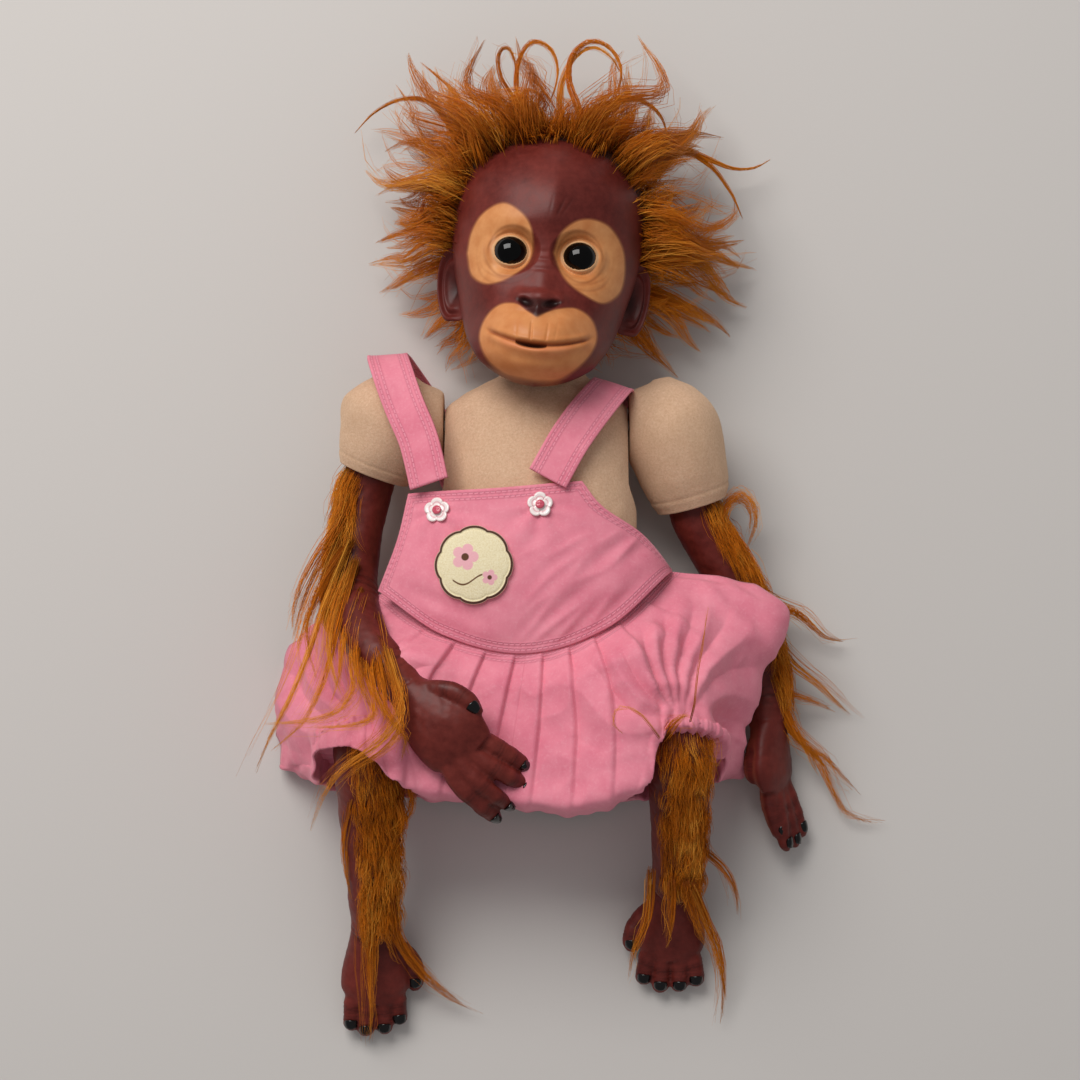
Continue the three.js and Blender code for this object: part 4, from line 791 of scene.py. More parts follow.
def make_torso(plush):
    """Stuffed body: full and dented like fibre filling, gathered into the neck, hollowed under the jaw."""
    grid = torso_grid(170, 220)
    x, y, z = np.moveaxis(grid, -1, 0)
    a = np.arctan2(x, z - 45)
    gather = bump(y, 66, 7) * 0.55 * np.sin(11 * a + 1.3 * np.sin(3 * a))
    gather = gather + bump(y, 79, 8) * 0.5 * np.sin(15 * a)
    stuffing = gather + 0.45 * ripple(grid, 5, 46) + 0.22 * ripple(grid, 6, 15)
    grid = grid + (grid - [-2, 0, 45]) / 45 * stuffing[..., None]
    shoulder = SHOULDER_HALF - 0.4 + 4.4 * step(np.hypot(y - 44, z - 42), 40, 52)
    hip = HIP_HALF - 0.4 + 12 * step(np.hypot(y + 92, z - 40), 32, 40)
    for limit in (shoulder, hip):
        grid[..., 0] = np.clip(grid[..., 0], TORSO_MIDDLE - limit, TORSO_MIDDLE + limit)
    grid[..., 2] = np.maximum(grid[..., 2], BODY_FLOOR)
    torso = piece("plush_body", *capped(grid), plush)
    head = piece("cut_head", *capped(head_grid(60, 60, 1.4, detail=False)), plush, to_frame=HEAD)
    return carve(torso, head)


# Limbs

SIDES = {"right": -1, "left": 1}
# The line of each cloth sleeve and its widths, then of the vinyl arm, palm, fingers and thumb that it holds
ARMS = {
    "right": {
        "sleeve": [[-74, 73, 43], [-80, 50, 42], [-92, 19, 35]],
        "sleeve_width": [[0, 5, 5], [0.12, 18, 17], [0.38, 29, 27], [0.72, 26, 25], [1, 20, 19.5]],
        "arm": [[-103, -40, 37], [-93, -76, 78], [-69, -105, 99]],
        "palm": [[-69, -105, 99], [-53, -123, 106], [-35, -138, 105]],
        "back": [0.1, -0.35, 1],
        "fingers": [
            [[-33, -129, 104], [-18, -137, 101], [-5, -145, 91]],
            [[-35, -138, 105], [-19, -148, 101], [-5, -155, 88]],
            [[-39, -145, 105], [-25, -158, 100], [-14, -165, 86]],
            [[-45, -149, 103], [-33, -162, 98], [-21, -172, 84]],
        ],
        "thumb": [[-60, -105, 104], [-44, -106, 111], [-30, -117, 110]],
    },
    "left": {
        "sleeve": [[67, 70, 43], [73, 40, 42], [84, 2, 33]],
        "sleeve_width": [[0, 5, 5], [0.12, 17, 17], [0.36, 27, 27], [0.72, 25, 25], [1, 20, 19.5]],
        "arm": [[110, -48, 22], [122, -86, 20], [126, -118, 20]],
        "palm": [[126, -118, 20], [128, -136, 19], [130, -156, 17]],
        "back": [0.9, 0, 0.5],
        "fingers": [
            [[126, -151, 21], [128, -170, 20], [134, -183, 16]],
            [[129, -153, 18], [133, -174, 18], [137, -190, 14]],
            [[132, -154, 14], [138, -173, 13], [142, -188, 10]],
            [[135, -152, 10], [142, -169, 9], [146, -182, 8]],
        ],
        "thumb": [[121, -128, 25], [117, -140, 27], [118, -153, 26]],
    },
}
PALM_WIDTH = [[0, 11, 9.5], [0.35, 17, 9], [0.75, 20, 8], [1, 15, 5]]
ARM_WIDTH = [[0, 13.5, 13.5], [0.3, 13.5, 13], [0.5, 14, 13.5], [0.75, 12.5, 11.5], [1, 11, 9.5]]
FINGER_WIDTH = [
    [0, 5.2, 5], [0.3, 5.3, 5.1], [0.42, 4.7, 4.5], [0.56, 4.9, 4.8], [0.7, 4.3, 4.1], [0.88, 3.9, 3.7],
    [1, 1.6, 1.5]
]
THUMB_WIDTH = [[0, 6, 5], [0.4, 5.3, 4.8], [0.6, 5.2, 4.8], [0.85, 4.4, 4.2], [1, 1.8, 1.8]]
LEGS = {
    "right": {
        "thigh": [[-72, -84, 26], [-77, -94, 40], [-86, -109, 58]],
        "leg": [[-92, -131, 74], [-91, -178, 54], [-90, -232, 26]],
        "foot": [[-90, -230, 19], [-91, -252, 13], [-91, -273, 9.5]],
        "toes": [
            [[-102, -268, 10], [-104, -279, 8], [-104, -288, 5.5]],
            [[-95, -270, 10], [-96, -282, 8], [-96, -291, 5.5]],
            [[-87, -270, 10], [-86, -281, 8], [-86, -290, 5.5]],
            [[-80, -267, 10], [-78, -277, 8], [-77, -285, 5.5]],
        ],
        "thumb": [[-78, -243, 12], [-70, -252, 10], [-69, -266, 7]],
    },
    "left": {
        "thigh": [[64, -84, 26], [67, -94, 40], [72, -109, 58]],
        "leg": [[74, -131, 74], [75, -168, 54], [75, -210, 26]],
        "foot": [[75, -208, 19], [73, -229, 13], [71, -249, 9.5]],
        "toes": [
            [[83, -245, 10], [86, -255, 8], [86, -264, 5.5]],
            [[76, -247, 10], [77, -258, 8], [77, -267, 5.5]],
            [[68, -247, 10], [67, -258, 8], [66, -267, 5.5]],
            [[61, -244, 10], [58, -254, 8], [57, -263, 5.5]],
        ],
        "thumb": [[62, -222, 12], [53, -231, 10], [50, -245, 7]],
    },
}
THIGH_WIDTH = [[0, 8, 8], [0.2, 18, 18], [0.6, 23, 21], [1, 20, 20]]
LEG_WIDTH = [[0, 15, 15], [0.16, 19.5, 18], [0.4, 17.5, 17], [0.7, 15.5, 15], [1, 13.5, 13]]
FOOT_WIDTH = [[0, 13, 13], [0.35, 16, 12.5], [0.75, 19, 10], [1, 14, 6]]
TOE_WIDTH = [[0, 5, 5], [0.35, 5.1, 4.9], [0.5, 4.7, 4.5], [0.7, 4.9, 4.7], [0.9, 4.2, 4.0], [1, 1.8, 1.7]]
BIG_TOE_WIDTH = [[0, 6, 6], [0.5, 5.6, 5.2], [0.85, 4.8, 4.4], [1, 2.2, 2.2]]
LEAD_START, LEAD_LENGTH = 0.9, 9.0
IN_CLOTH, IN_PALM, NAIL_BACK = 0.065, 0.25, 1.8


def limb_line(cloth, own):
    """A vinyl limb starts in the mouth of its cloth, leaves it straight, then follows its own line."""
    line = spline(cloth, 200)
    way = unit(line[-1] - line[-2])
    lead = [
        line[-1] + way * d
        for d in (-LEAD_LENGTH, LEAD_START, LEAD_START + LEAD_LENGTH / 2, LEAD_START + LEAD_LENGTH)
    ]
    return lead + [np.array(p, float) for p in own]


def shifted(table, start):
    """A limb's width table, moved along a line that starts earlier by a share."""
    return [[0, *table[0][1:]]] + [[start + (1 - start) * row[0], *row[1:]] for row in table]


def closest(points, line):
    """For each point, its distance to a line and the share of the way along it where it is nearest."""
    best = np.full(len(points), 1e9)
    share = np.zeros(len(points))
    for i, p in enumerate(line):
        d = ((points - p) ** 2).sum(1)
        near = d < best
        best[near], share[near] = d[near], i / (len(line) - 1)
    return np.sqrt(best), share


def nail(line, widths, up, length):
    """Nail: a curved plate on the last part of a finger, a little raised, with a rounded free end."""
    path = spline(line, 60)
    _, across, out = frames(path, up)
    count_v, count_u = 14, 14
    v, u = np.meshgrid(np.linspace(0, 1, count_v), np.linspace(-1, 1, count_u), indexing="ij")
    total = length_of(path)
    t = 1 - (length + NAIL_BACK) / total + v * (length - 0.4) / total
    reach = np.sqrt(np.clip(1 - (np.abs(2 * v - 1) ** 4), 0.02, 1))
    angle = u * 0.92 * reach
    over = np.clip(t - 1, 0, 1) * total
    s = np.clip(t, 0, 1)
    spots = np.linspace(0, 1, 60)
    at, across, out = (
        np.stack([np.interp(s, spots, w[:, k]) for k in range(3)], -1) for w in (path, across, out)
    )
    ahead = unit(path[-1] - path[-3]) * over[..., None]
    wide = np.maximum(rows(widths, s, 1), 3.4) * 0.98
    high = np.maximum(rows(widths, s, 2), 3.0)
    sideways = across * (wide * np.sin(angle))[..., None]
    return slab(
        *(at + sideways + out * ((high + lift) * np.cos(angle))[..., None] + ahead for lift in (0.85, -0.5))
    )


def slab(top, bottom, kept=None):
    """Points and faces of a body between two grids of the same size, closed round its edges.
    Where kept is given, a quad stays if all its points are kept, and the edge that is left is closed too."""
    layer = top.shape[0] * top.shape[1]
    upper = quads(*top.shape[:2])
    if kept is not None:
        upper = upper[kept.ravel()[upper].all(1)]
    edges = np.stack([upper, np.roll(upper, -1, 1)], -1).reshape(-1, 2)
    single = ~np.isin(edges[:, 0] * layer + edges[:, 1], edges[:, 1] * layer + edges[:, 0])
    a, b = edges[single].T
    side = np.stack([a, a + layer, b + layer, b], 1)
    return np.vstack([top.reshape(-1, 3), bottom.reshape(-1, 3)]), [upper, upper[:, ::-1] + layer, side]


def digit_creases(points, lines, joints):
    """Depth of the fine double creases across the joints of fingers or toes."""
    out = np.zeros(len(points))
    for line in lines:
        path = spline(line, 50)
        near, share = closest(points, path)
        length = length_of(path)
        hold = 1 - step(near, 5.5, 7)
        for joint in joints:
            for gap in (-1.5, 0, 1.5):
                out += hold * bump((share - joint) * length, gap, 0.45) * (1 if gap == 0 else 0.6)
    return out


def finish_skin(obj, digits, joints, spine, seed, folds):
    """Vinyl relief after the remesh, above the floor: creases at the joints of the digits, soft veins and
    dents, and folds of the skin, each at a share of the limb's line with a width and a number of waves."""
    points, normals = place_of(obj), normals_of(obj)
    crease = digit_creases(points, digits, joints)
    _, share = closest(points, spline(spine, 120))
    fold = np.zeros(len(points))
    for place, width, count in folds:
        local = (share - place) / width
        fold += np.exp(-(local**2)) * np.clip(
            np.sin(local * count * np.pi + 0.8 * ripple(points, seed + 3, 16)), -0.2, 1
        )
    relief = 0.28 * ripple(points, seed, 19) + 0.10 * ripple(points, seed + 1, 6.5)
    relief = relief - 0.42 * crease - 0.38 * fold
    move_to(obj, points + normals * relief[:, None])
    # The crease field darkens the joint creases and skin folds as painted shade.
    field(obj, "crease", np.clip(crease + 0.7 * fold, 0, 1))
    points = place_of(obj)
    points[:, 2] = np.maximum(points[:, 2], SKIN_FLOOR)
    move_to(obj, points)


def limb_skin(name, limb, base, hand, digits, tables, ways, sizes, vinyl, seed, joints, folds):
    """One vinyl limb: a tube for its length, one for the palm or foot, one for each digit, made one skin.
    tables holds the widths of limb, hand, digit and thumb; ways the upward sides of limb and hand; sizes the
    limb's grid and the rings of a digit."""
    line = limb_line(limb[base], limb[hand[0]])
    wide, palm_wide, digit_wide, thumb_wide = tables
    palm, way = limb[hand[1]], ways[1]
    parts = [tube(line, shifted(wide, IN_CLOTH), ways[0], *sizes[:2]), tube(palm, palm_wide, way, 36, 40)]
    for digit in limb[digits]:
        start = (np.array(palm[1]) * 0.35 + np.array(digit[0]) * 0.65).tolist()
        parts.append(tube([start] + digit, shifted(digit_wide, IN_PALM), way, 24, sizes[2]))
    parts.append(tube(limb["thumb"], thumb_wide, way, 24, 40))
    skin = skin_over(name, [capped(p) for p in parts], vinyl)
    spine = line + [np.array(p, float) for p in palm[1:]]
    finish_skin(skin, limb[digits] + [limb["thumb"]], joints, spine, seed, folds)
    return skin


def make_arm(name, vinyl, black):
    """Vinyl arm with its hand, paler in the palm, and the nails of its fingers and thumb."""
    arm = ARMS[name]
    tables = ARM_WIDTH, PALM_WIDTH, FINGER_WIDTH, THUMB_WIDTH
    skin = limb_skin(
        f"{name}_forearm_skin", arm, "sleeve", ("arm", "palm"), "fingers", tables, ([0, 0, 1], arm["back"]),
        (40, 110, 46), vinyl, 11, (0.36, 0.62), ((0.70, 0.035, 3), (0.40, 0.05, 3)),
    )
    near, _ = closest(place_of(skin), spline(arm["palm"], 30))
    facing = normals_of(skin) @ unit(np.array(arm["back"]))
    field(skin, "palm", step(-facing, 0.1, 0.7) * (1 - step(near, 20, 30)))
    nails = [nail(f, FINGER_WIDTH, arm["back"], 6.8) for f in arm["fingers"]]
    nails.append(nail(arm["thumb"], THUMB_WIDTH, arm["back"], 6.8))
    return skin, piece(f"{name}_nails", *join_parts(nails), black)


def make_leg(name, vinyl, black):
    """Vinyl leg with its foot, and the nails of its toes."""
    leg = LEGS[name]
    tables = LEG_WIDTH, FOOT_WIDTH, TOE_WIDTH, BIG_TOE_WIDTH
    skin = limb_skin(
        f"{name}_shin_skin", leg, "thigh", ("leg", "foot"), "toes", tables, ([1, 0, 0], [0, 0, 1]),
        (44, 120, 40), vinyl, 21, (0.4, 0.65), ((0.76, 0.03, 3),),
    )
    nails = [nail(f, TOE_WIDTH, [0, -0.45, 1], 5.6) for f in leg["toes"]]
    nails.append(nail(leg["thumb"], BIG_TOE_WIDTH, [0, -0.3, 1], 6))
    return skin, piece(f"{name}_toenails", *join_parts(nails), black)


# The sleeve's cloth past its hem: how far on, and the share of the hem's width
HEM_TURN = [(0.7, 0.985), (1.0, 0.95), (0.6, 0.91), (-1.5, 0.86), (-5, 0.80), (-9, 0.74)]


def make_sleeve(name, plush):
    """Stuffed sleeve: a full bulb from its flat face at the shoulder to a stitched hem, turned in."""
    arm, side = ARMS[name], SIDES[name]
    width = arm["sleeve_width"][:-1] + [[0.93, 22.5, 21.5], [1, 20.3, 19.6]]
    grid = tube(arm["sleeve"], width, [0, 0, 1], 100, 84)
    path = spline(arm["sleeve"], 84)
    way = unit(path[-1] - path[-2])
    last = grid[-1] - path[-1]
    turned = [path[-1] + way * back + last * share for back, share in HEM_TURN]
    grid = np.concatenate([grid, np.stack(turned)])
    share = np.concatenate([np.linspace(0, 1, 84), [1.01, 1.02, 1.03, 1.04, 1.06, 1.08]])
    centre = np.vstack([path, np.repeat(path[-1:], 6, 0)])[:, None]
    out = unit(grid - centre)
    puff = 0.5 * ripple(grid, 31, 40) + 0.2 * ripple(grid, 32, 13)
    seam = -0.3 * bump(share, 0.905, 0.012)[:, None]
    grid = grid + out * ((puff + seam) * (1 - step(share, 1.0, 1.05))[:, None])[..., None]
    inner = TORSO_MIDDLE + side * (SHOULDER_HALF + GAP + 0.2)
    beyond = (grid[..., 0] - inner) * side
    seat = (1 - step(np.hypot(grid[..., 1] - 45, grid[..., 2] - 42), 16, 23)) * (1 - step(beyond, 10, 18))
    grid[..., 0] = inner + side * np.maximum(beyond * (1 - seat), 0)
    stitch = on_grid((share * 75)[:, None], grid)
    turn = on_grid(np.linspace(0, 2 * np.pi * 21, 100, endpoint=False), grid)
    return piece(f"{name}_sleeve_cloth", *capped(grid), plush, along=turn, hem=stitch)


def make_thigh(name, plush):
    """Stuffed thigh: an oval tube, flat where it meets the body's side, above the cloth under it."""
    leg, side = LEGS[name], SIDES[name]
    grid = tube(leg["thigh"], THIGH_WIDTH, [1, 0, 0], 60, 50)
    inner = TORSO_MIDDLE + side * (HIP_HALF + GAP + 0.2)
    grid[..., 0] = np.maximum(grid[..., 0] * side, inner * side) * side
    grid[..., 2] = np.maximum(grid[..., 2], 2.7)
    return piece(f"{name}_thigh_cloth", *capped(grid), plush)


# Hair

def seen(points):
    """Doll coordinates of points given as the photograph's pixel across and down, and their height."""
    p = np.asarray(points, float)
    up = np.array([0, math.sin(CAMERA_ELEVATION), math.cos(CAMERA_ELEVATION)])
    scale = FRAME_WIDTH / PHOTO_WIDTH
    x, y = p[..., :1] - PHOTO_WIDTH / 2, PHOTO_WIDTH / 2 - p[..., 1:2]
    way = CAMERA_LOOK - CAMERA_AT + x * scale * np.array([1.0, 0, 0]) + y * scale * up
    return CAMERA_AT + way * ((p[..., 2:] - CAMERA_AT[2]) / way[..., 2:])


def to_head(points):
    """Doll coordinates in the head's own, which is rolled to one side."""
    return (np.asarray(points, float) - HEAD[:, 3]) @ HEAD[:, :3]


def bend(guides, t):
    """Points at shares t (lines, steps) of smooth lines through control points (lines, points, 3)."""
    count = guides.shape[1]
    p = np.concatenate(
        [2 * guides[:, :1] - guides[:, 1:2], guides, 2 * guides[:, -1:] - guides[:, -2:-1]], 1
    )
    place = np.clip(t, 0, 1) * (count - 1)
    i = np.minimum(place.astype(int), count - 2)
    u = (place - i)[..., None]
    a, b, c, d = (np.take_along_axis(p, (i + k)[..., None], 1) for k in range(4))
    return 0.5 * (2 * b + (c - a) * u + (2 * a - 5 * b + 4 * c - d) * u**2 + (3 * b - a - 3 * c + d) * u**3)


def grow(guides, each, root, tip, seed, steps=7, shortest=0.6, frizz=0.3, sway=1.2, thick=0.16, tones=None):
    """Strands of hair round guide lines. Each lock has its own number of strands, which start spread by root
    and gather to tip, end at different lengths and wave together, with a little frizz of their own.
    Returns lines, radii, shares of length and tones."""
    random = np.random.default_rng(seed)
    lock = np.repeat(np.arange(len(guides)), each)
    n = len(lock)
    root, tip = (np.broadcast_to(v, len(guides))[lock][:, None] for v in (root, tip))
    shift = random.normal(size=(n, 3))
    shift /= np.maximum(
        np.linalg.norm(shift, axis=1, keepdims=True) / random.uniform(0.1, 1, (n, 1)) ** 0.6, 1e-6
    )
    length = random.uniform(shortest, 1, n) ** 0.7
    stray = random.random(n) < 0.05
    t = np.linspace(0, 1, steps)[None, :] * length[:, None]
    line = bend(guides[lock], t)
    spread = root * (1 - t) ** 1.15 + tip * (0.25 + 0.75 * np.sin(np.pi * t))
    spread = spread * np.where(stray, 1.8, 1.0)[:, None]
    line = line + shift[:, None] * spread[..., None]
    shared = random.uniform(0, 2 * np.pi, (len(guides), 1, 3))[lock]
    rate = random.uniform(4, 8, (len(guides), 1, 1))[lock]
    line = line + np.sin(shared + t[..., None] * rate) * sway * t[..., None] ** 1.2
    phase = random.uniform(0, 2 * np.pi, (n, 1, 3))
    own = frizz * np.where(stray, 5, 1)[:, None, None]
    line = (
        line + np.sin(phase + t[..., None] * random.uniform(5, 11, (n, 1, 1))) * own * t[..., None] ** 1.2
    )
    radius = (
        thick * random.uniform(0.7, 1.25, (n, 1))
        * np.clip(1.15 - np.linspace(0, 1, steps)[None, :], 0.12, 1) ** 0.55
    )
    tones = random.normal(0.5, 0.16, len(guides)) if tones is None else tones
    return line, radius, t, np.clip(tones[lock] + random.normal(0, 0.14, n), 0, 1)


def strands(name, grown, material, to_frame=None):
    """Strands as three-sided tapering tubes above the floor, with their share of length and their tone."""
    line, radius, t, tone = (np.concatenate([g[k] for g in grown]) for k in range(4))
    if to_frame is not None:
        line = line @ to_frame[:3, :3].T + to_frame[:3, 3]
    line[..., 2] = np.maximum(line[..., 2], HAIR_FLOOR + radius)
    n, steps = line.shape[:2]
    along = unit(np.gradient(line, axis=1))
    side = unit(np.cross(along, np.array([0.31, 0.22, 0.92])))
    a = (np.arange(3) * 2 * np.pi / 3)[:, None]
    ring = side[:, :, None] * np.cos(a) + np.cross(along, side)[:, :, None] * np.sin(a)
    points = line[:, :, None] + ring * radius[..., None, None]
    base = quads(steps, 3, closed_u=True)
    offset = (np.arange(n) * steps * 3)[:, None, None]
    caps = np.array([[2, 1, 0], [steps * 3 - 3, steps * 3 - 2, steps * 3 - 1]])
    faces = [(base[None] + offset).reshape(-1, 4), (caps[None] + offset).reshape(-1, 3)]
    share = np.repeat(t[..., None], 3, 2).ravel()
    return piece(name, points, faces, material, root=share, tone=np.repeat(tone, steps * 3))


# Tips of the locks round the head: pixel across, pixel down, height, bend to the left, fullness
LOCK_TIPS = [
    [441, 372, 12, 0.05, 0.7], [433, 357, 10, 0.06, 0.9], [420, 337, 14, 0.10, 1.0],
    [402, 318, 12, 0.04, 0.9], [379, 295, 12, -0.05, 1.1],
    [370, 266, 12, 0.06, 1.1], [379, 244, 22, -0.05, 1.2], [392, 228, 34, 0.0, 0.9],
    [389, 211, 22, 0.08, 1.2], [372, 193, 14, -0.04, 1.2],
    [367, 166, 16, 0.07, 1.1], [385, 148, 28, -0.1, 0.8], [371, 128, 14, -0.06, 0.6],
    [398, 84, 18, 0.04, 0.8], [412, 50, 14, 0.07, 1.2],
    [438, 67, 26, 0.13, 1.0], [452, 82, 34, 0.10, 0.9], [484, 38, 16, 0.12, 1.2], [498, 62, 30, 0.06, 1.1],
    [515, 34, 16, -0.06, 1.1],
    [529, 88, 40, 0.05, 0.9], [556, 95, 42, -0.1, 0.8], [604, 88, 36, -0.08, 0.8],
    [622, 48, 20, -0.05, 0.7], [639, 39, 14, -0.17, 1.2],
    [650, 96, 34, -0.10, 0.9], [700, 106, 22, -0.10, 0.9], [714, 109, 14, -0.04, 1.0],
    [725, 135, 14, 0.10, 1.1], [704, 148, 30, 0.02, 1.0],
    [736, 200, 18, -0.16, 0.9], [741, 238, 12, -0.08, 1.2], [754, 267, 10, 0.05, 1.2],
    [738, 268, 24, 0.03, 1.2], [734, 290, 16, 0.08, 1.0],
    [745, 306, 10, 0.05, 1.3], [728, 338, 10, 0.05, 1.3], [714, 330, 22, 0.04, 1.1],
    [699, 352, 12, 0.02, 1.2], [677, 375, 10, -0.05, 1.0],
    [662, 366, 16, 0.02, 0.8],
]
CURL_STEPS = 18
# Long curls of the photograph, from root to end
CURLS = [
    [
        [528, 150, 62], [516, 104, 52], [500, 74, 44], [499, 52, 40], [507, 46, 38], [514, 58, 36],
        [516, 84, 34]
    ],
    [
        [530, 152, 62], [518, 100, 52], [519, 62, 44], [533, 41, 40], [551, 49, 38], [558, 70, 36],
        [554, 92, 36], [545, 112, 36]
    ],
    [
        [590, 152, 62], [578, 106, 52], [569, 80, 44], [573, 54, 40], [590, 41, 38], [608, 46, 36],
        [621, 66, 34], [619, 88, 34], [609, 106, 34]
    ],
    [
        [568, 152, 62], [560, 110, 50], [563, 78, 42], [576, 56, 38], [594, 47, 36], [612, 58, 34],
        [622, 76, 32]
    ],
    [[598, 154, 60], [606, 112, 52], [625, 99, 46], [646, 103, 42], [662, 118, 40], [667, 136, 40]],
    [[470, 168, 52], [447, 122, 40], [429, 102, 32], [402, 99, 24], [374, 113, 18], [354, 134, 14]],
    [[655, 172, 50], [678, 149, 40], [704, 157, 30], [731, 168, 22], [754, 168, 16], [771, 159, 12]],
    [[655, 178, 50], [680, 152, 40], [708, 164, 30], [731, 193, 22], [743, 220, 16]],
    [[520, 155, 60], [516, 112, 52], [527, 90, 46], [541, 96, 44], [547, 116, 44]],
    [[500, 160, 55], [470, 118, 44], [452, 90, 36], [432, 72, 28], [420, 62, 22]],
]


# Height on the head that its locks spread from, and the lowest that their ends lie behind it
CROWN, HAIR_LOW = 8, -57
# Height of every strand over the floor
HAIR_FLOOR = 0.25


def hairline(y):
    """How far forward hair is rooted at a height on the head: far back at the ears, further at the brow."""
    return -24 + 29 * step(y, -3, 12) + 0.36 * np.clip(y, 0, 60)


def round_crown(points):
    """Angle from straight up and distance of points round the crown, seen from the face."""
    return np.arctan2(points[:, 0], points[:, 1] - CROWN), np.hypot(points[:, 0], points[:, 1] - CROWN)


def scalp(count, seed):
    """Random places on the rooted part of the scalp, behind the hairline and above the nape."""
    random = np.random.default_rng(seed)
    y = random.uniform(-34, 73, count * 6)
    a = random.uniform(0, 2 * np.pi, count * 6)
    p = np.stack(head_sections(y, a, -1.2), -1)
    edge = hairline(p[:, 1]) + 1.5 * np.sin(p[:, 1] / 5) * np.sin(p[:, 0] / 4)
    return p[(p[:, 2] < edge) & (p[:, 2] > -46)][:count]


def lock_guides(roots, tips, lean, lift, seed):
    """Guide lines from scalp to tip: they leave in the skin's outward direction, then sweep to the tip."""
    random = np.random.default_rng(seed)
    out = unit(roots - np.array([0, CROWN, -6]))
    way = tips - roots
    length = np.linalg.norm(way, axis=1, keepdims=True)
    left = np.cross(np.array([0, 0, 1.0]), way / length)
    lean = np.asarray(lean).reshape(-1, 1)
    up, aside = np.array([0, 0, 1]) * lift, left * lean * length
    first = roots + out * length * 0.20 + up + aside * 0.5
    second = roots * 0.45 + tips * 0.55 + aside * 1.3 + up * 0.9
    third = roots * 0.2 + tips * 0.8 + aside * 0.9 + up * 0.35
    wobble = random.normal(size=(3, len(roots), 3)) * length * 0.025
    return np.stack([roots, first + wobble[0], second + wobble[1], third + wobble[2], tips], 1)


def make_scalp_hair(hair, cap_material):
    """Rooted mohair: locks, long curls, and a short undergrowth that fills between them."""
    random = np.random.default_rng(41)
    table = np.array(LOCK_TIPS)
    tips = to_head(seen(table[:, :3]))
    angle, reach = round_crown(tips)
    order = np.argsort(angle)
    roots = scalp(2600, 5)
    root_angle, _ = round_crown(roots)
    behind = hairline(roots[:, 1]) - roots[:, 2]
    made = []
    for copy, (number, share) in enumerate(((50, 1.0), (34, 0.86), (26, 0.7))):
        score = np.abs(root_angle - angle[:, None] * 0.96) * 60 + np.abs(behind - 6 - 13 * copy)
        own = roots[np.argmin(score + random.uniform(0, 10, score.shape), 1)]
        near = own + (tips - own) * share + random.normal(size=tips.shape) * [4, 4, 3] * (copy > 0)
        guides = lock_guides(
            own, near, table[:, 3] + 0.03 * random.normal(size=len(tips)), 6 - 2 * copy, 60 + copy
        )
        each = np.round(table[:, 4] * number).astype(int)
        made.append(grow(guides, each, 7.5, 1.7, 70 + copy, shortest=0.5, sway=2.0))
    for i, curl in enumerate(CURLS):
        line = spline(to_head(seen(curl)), 24)[None]
        each = [46 if i < 8 else 30]
        made.append(
            grow(line, each, 2.6, 0.8, 90 + i, CURL_STEPS, shortest=0.8, frizz=0.2, sway=0, thick=0.15)
        )
    for layer, (count, low, high, lift) in enumerate(((230, 0.10, 0.40, 5), (120, 0.30, 0.60, 4))):
        r = roots[random.choice(len(roots), count, replace=False)]
        a, start = round_crown(r)
        a, start = a + random.normal(0, 0.09, count), np.maximum(start, 50)
        far = (np.interp(a, angle[order], reach[order]) - 58) * np.where(a > 0.3, 1.25, 1)
        d = start + far * random.uniform(low, high, count)
        z = np.maximum(r[:, 2] * 0.8 + random.uniform(-9, 5, count), HAIR_LOW)
        tip = np.stack([np.sin(a) * d, CROWN + np.cos(a) * d, z], 1)
        guides = lock_guides(r, tip, 0.08 * random.normal(size=count), lift, 80 + layer)
        thin = np.where((a < -1.7) | (a > 2.1), 8, 21)
        made.append(grow(guides, thin, 6.5, 1.8, 100 + layer, shortest=0.55, frizz=0.35, sway=0.9))
    r = roots[random.choice(len(roots), 180, replace=False)]
    a = round_crown(r)[0] + random.normal(0, 0.12, 180)
    d = np.interp(a, angle[order], reach[order]) * random.uniform(0.7, 1.02, 180)
    tip = np.stack([np.sin(a) * d, CROWN + np.cos(a) * d, np.maximum(r[:, 2] * 0.3 - 20, HAIR_LOW)], 1)
    wisps = lock_guides(r, tip, 0.16 * random.normal(size=180), 8, 95)
    made.append(grow(wisps, [6] * 180, 3.0, 2.4, 110, shortest=0.6, frizz=0.6, sway=3.0, thick=0.13))
    parts = []
    for i in range(3):
        share = [tuple(v[i::3] for v in g) for g in made if g[0].shape[1] != CURL_STEPS]
        parts.append(strands(f"scalp_hair_{i + 1}", share, hair, HEAD))
    parts.append(strands("scalp_curls", [g for g in made if g[0].shape[1] == CURL_STEPS], hair, HEAD))
    parts.append(make_hair_cap(cap_material))
    return parts


def make_hair_cap(cap_material):
    """Skin of short hair roots on the scalp, dark as painted shade under the hair, which sinks into the head at
    the hairline.
    """
    y, a = np.meshgrid(np.linspace(-37, 73.4, 64), np.linspace(0, 2 * np.pi, 140), indexing="ij")
    x, y, z = head_sections(y, a, 0)
    z = z + face_push(x, y) * step(z, 5, 30)
    p = np.stack([x, y, z], -1)
    behind = hairline(y) - z + 1.6 * ripple(p, 77, 9)
    cover = np.clip(behind / 8, 0, 1) * step(y, -37, -31)
    out = unit(p - np.array([0, CROWN, -4]))
    body = slab(p + out * (cover * 1.6 - 0.6)[..., None], p - out * 1.4, cover > 0)
    return piece("scalp_cap", *body, cap_material, to_frame=HEAD)


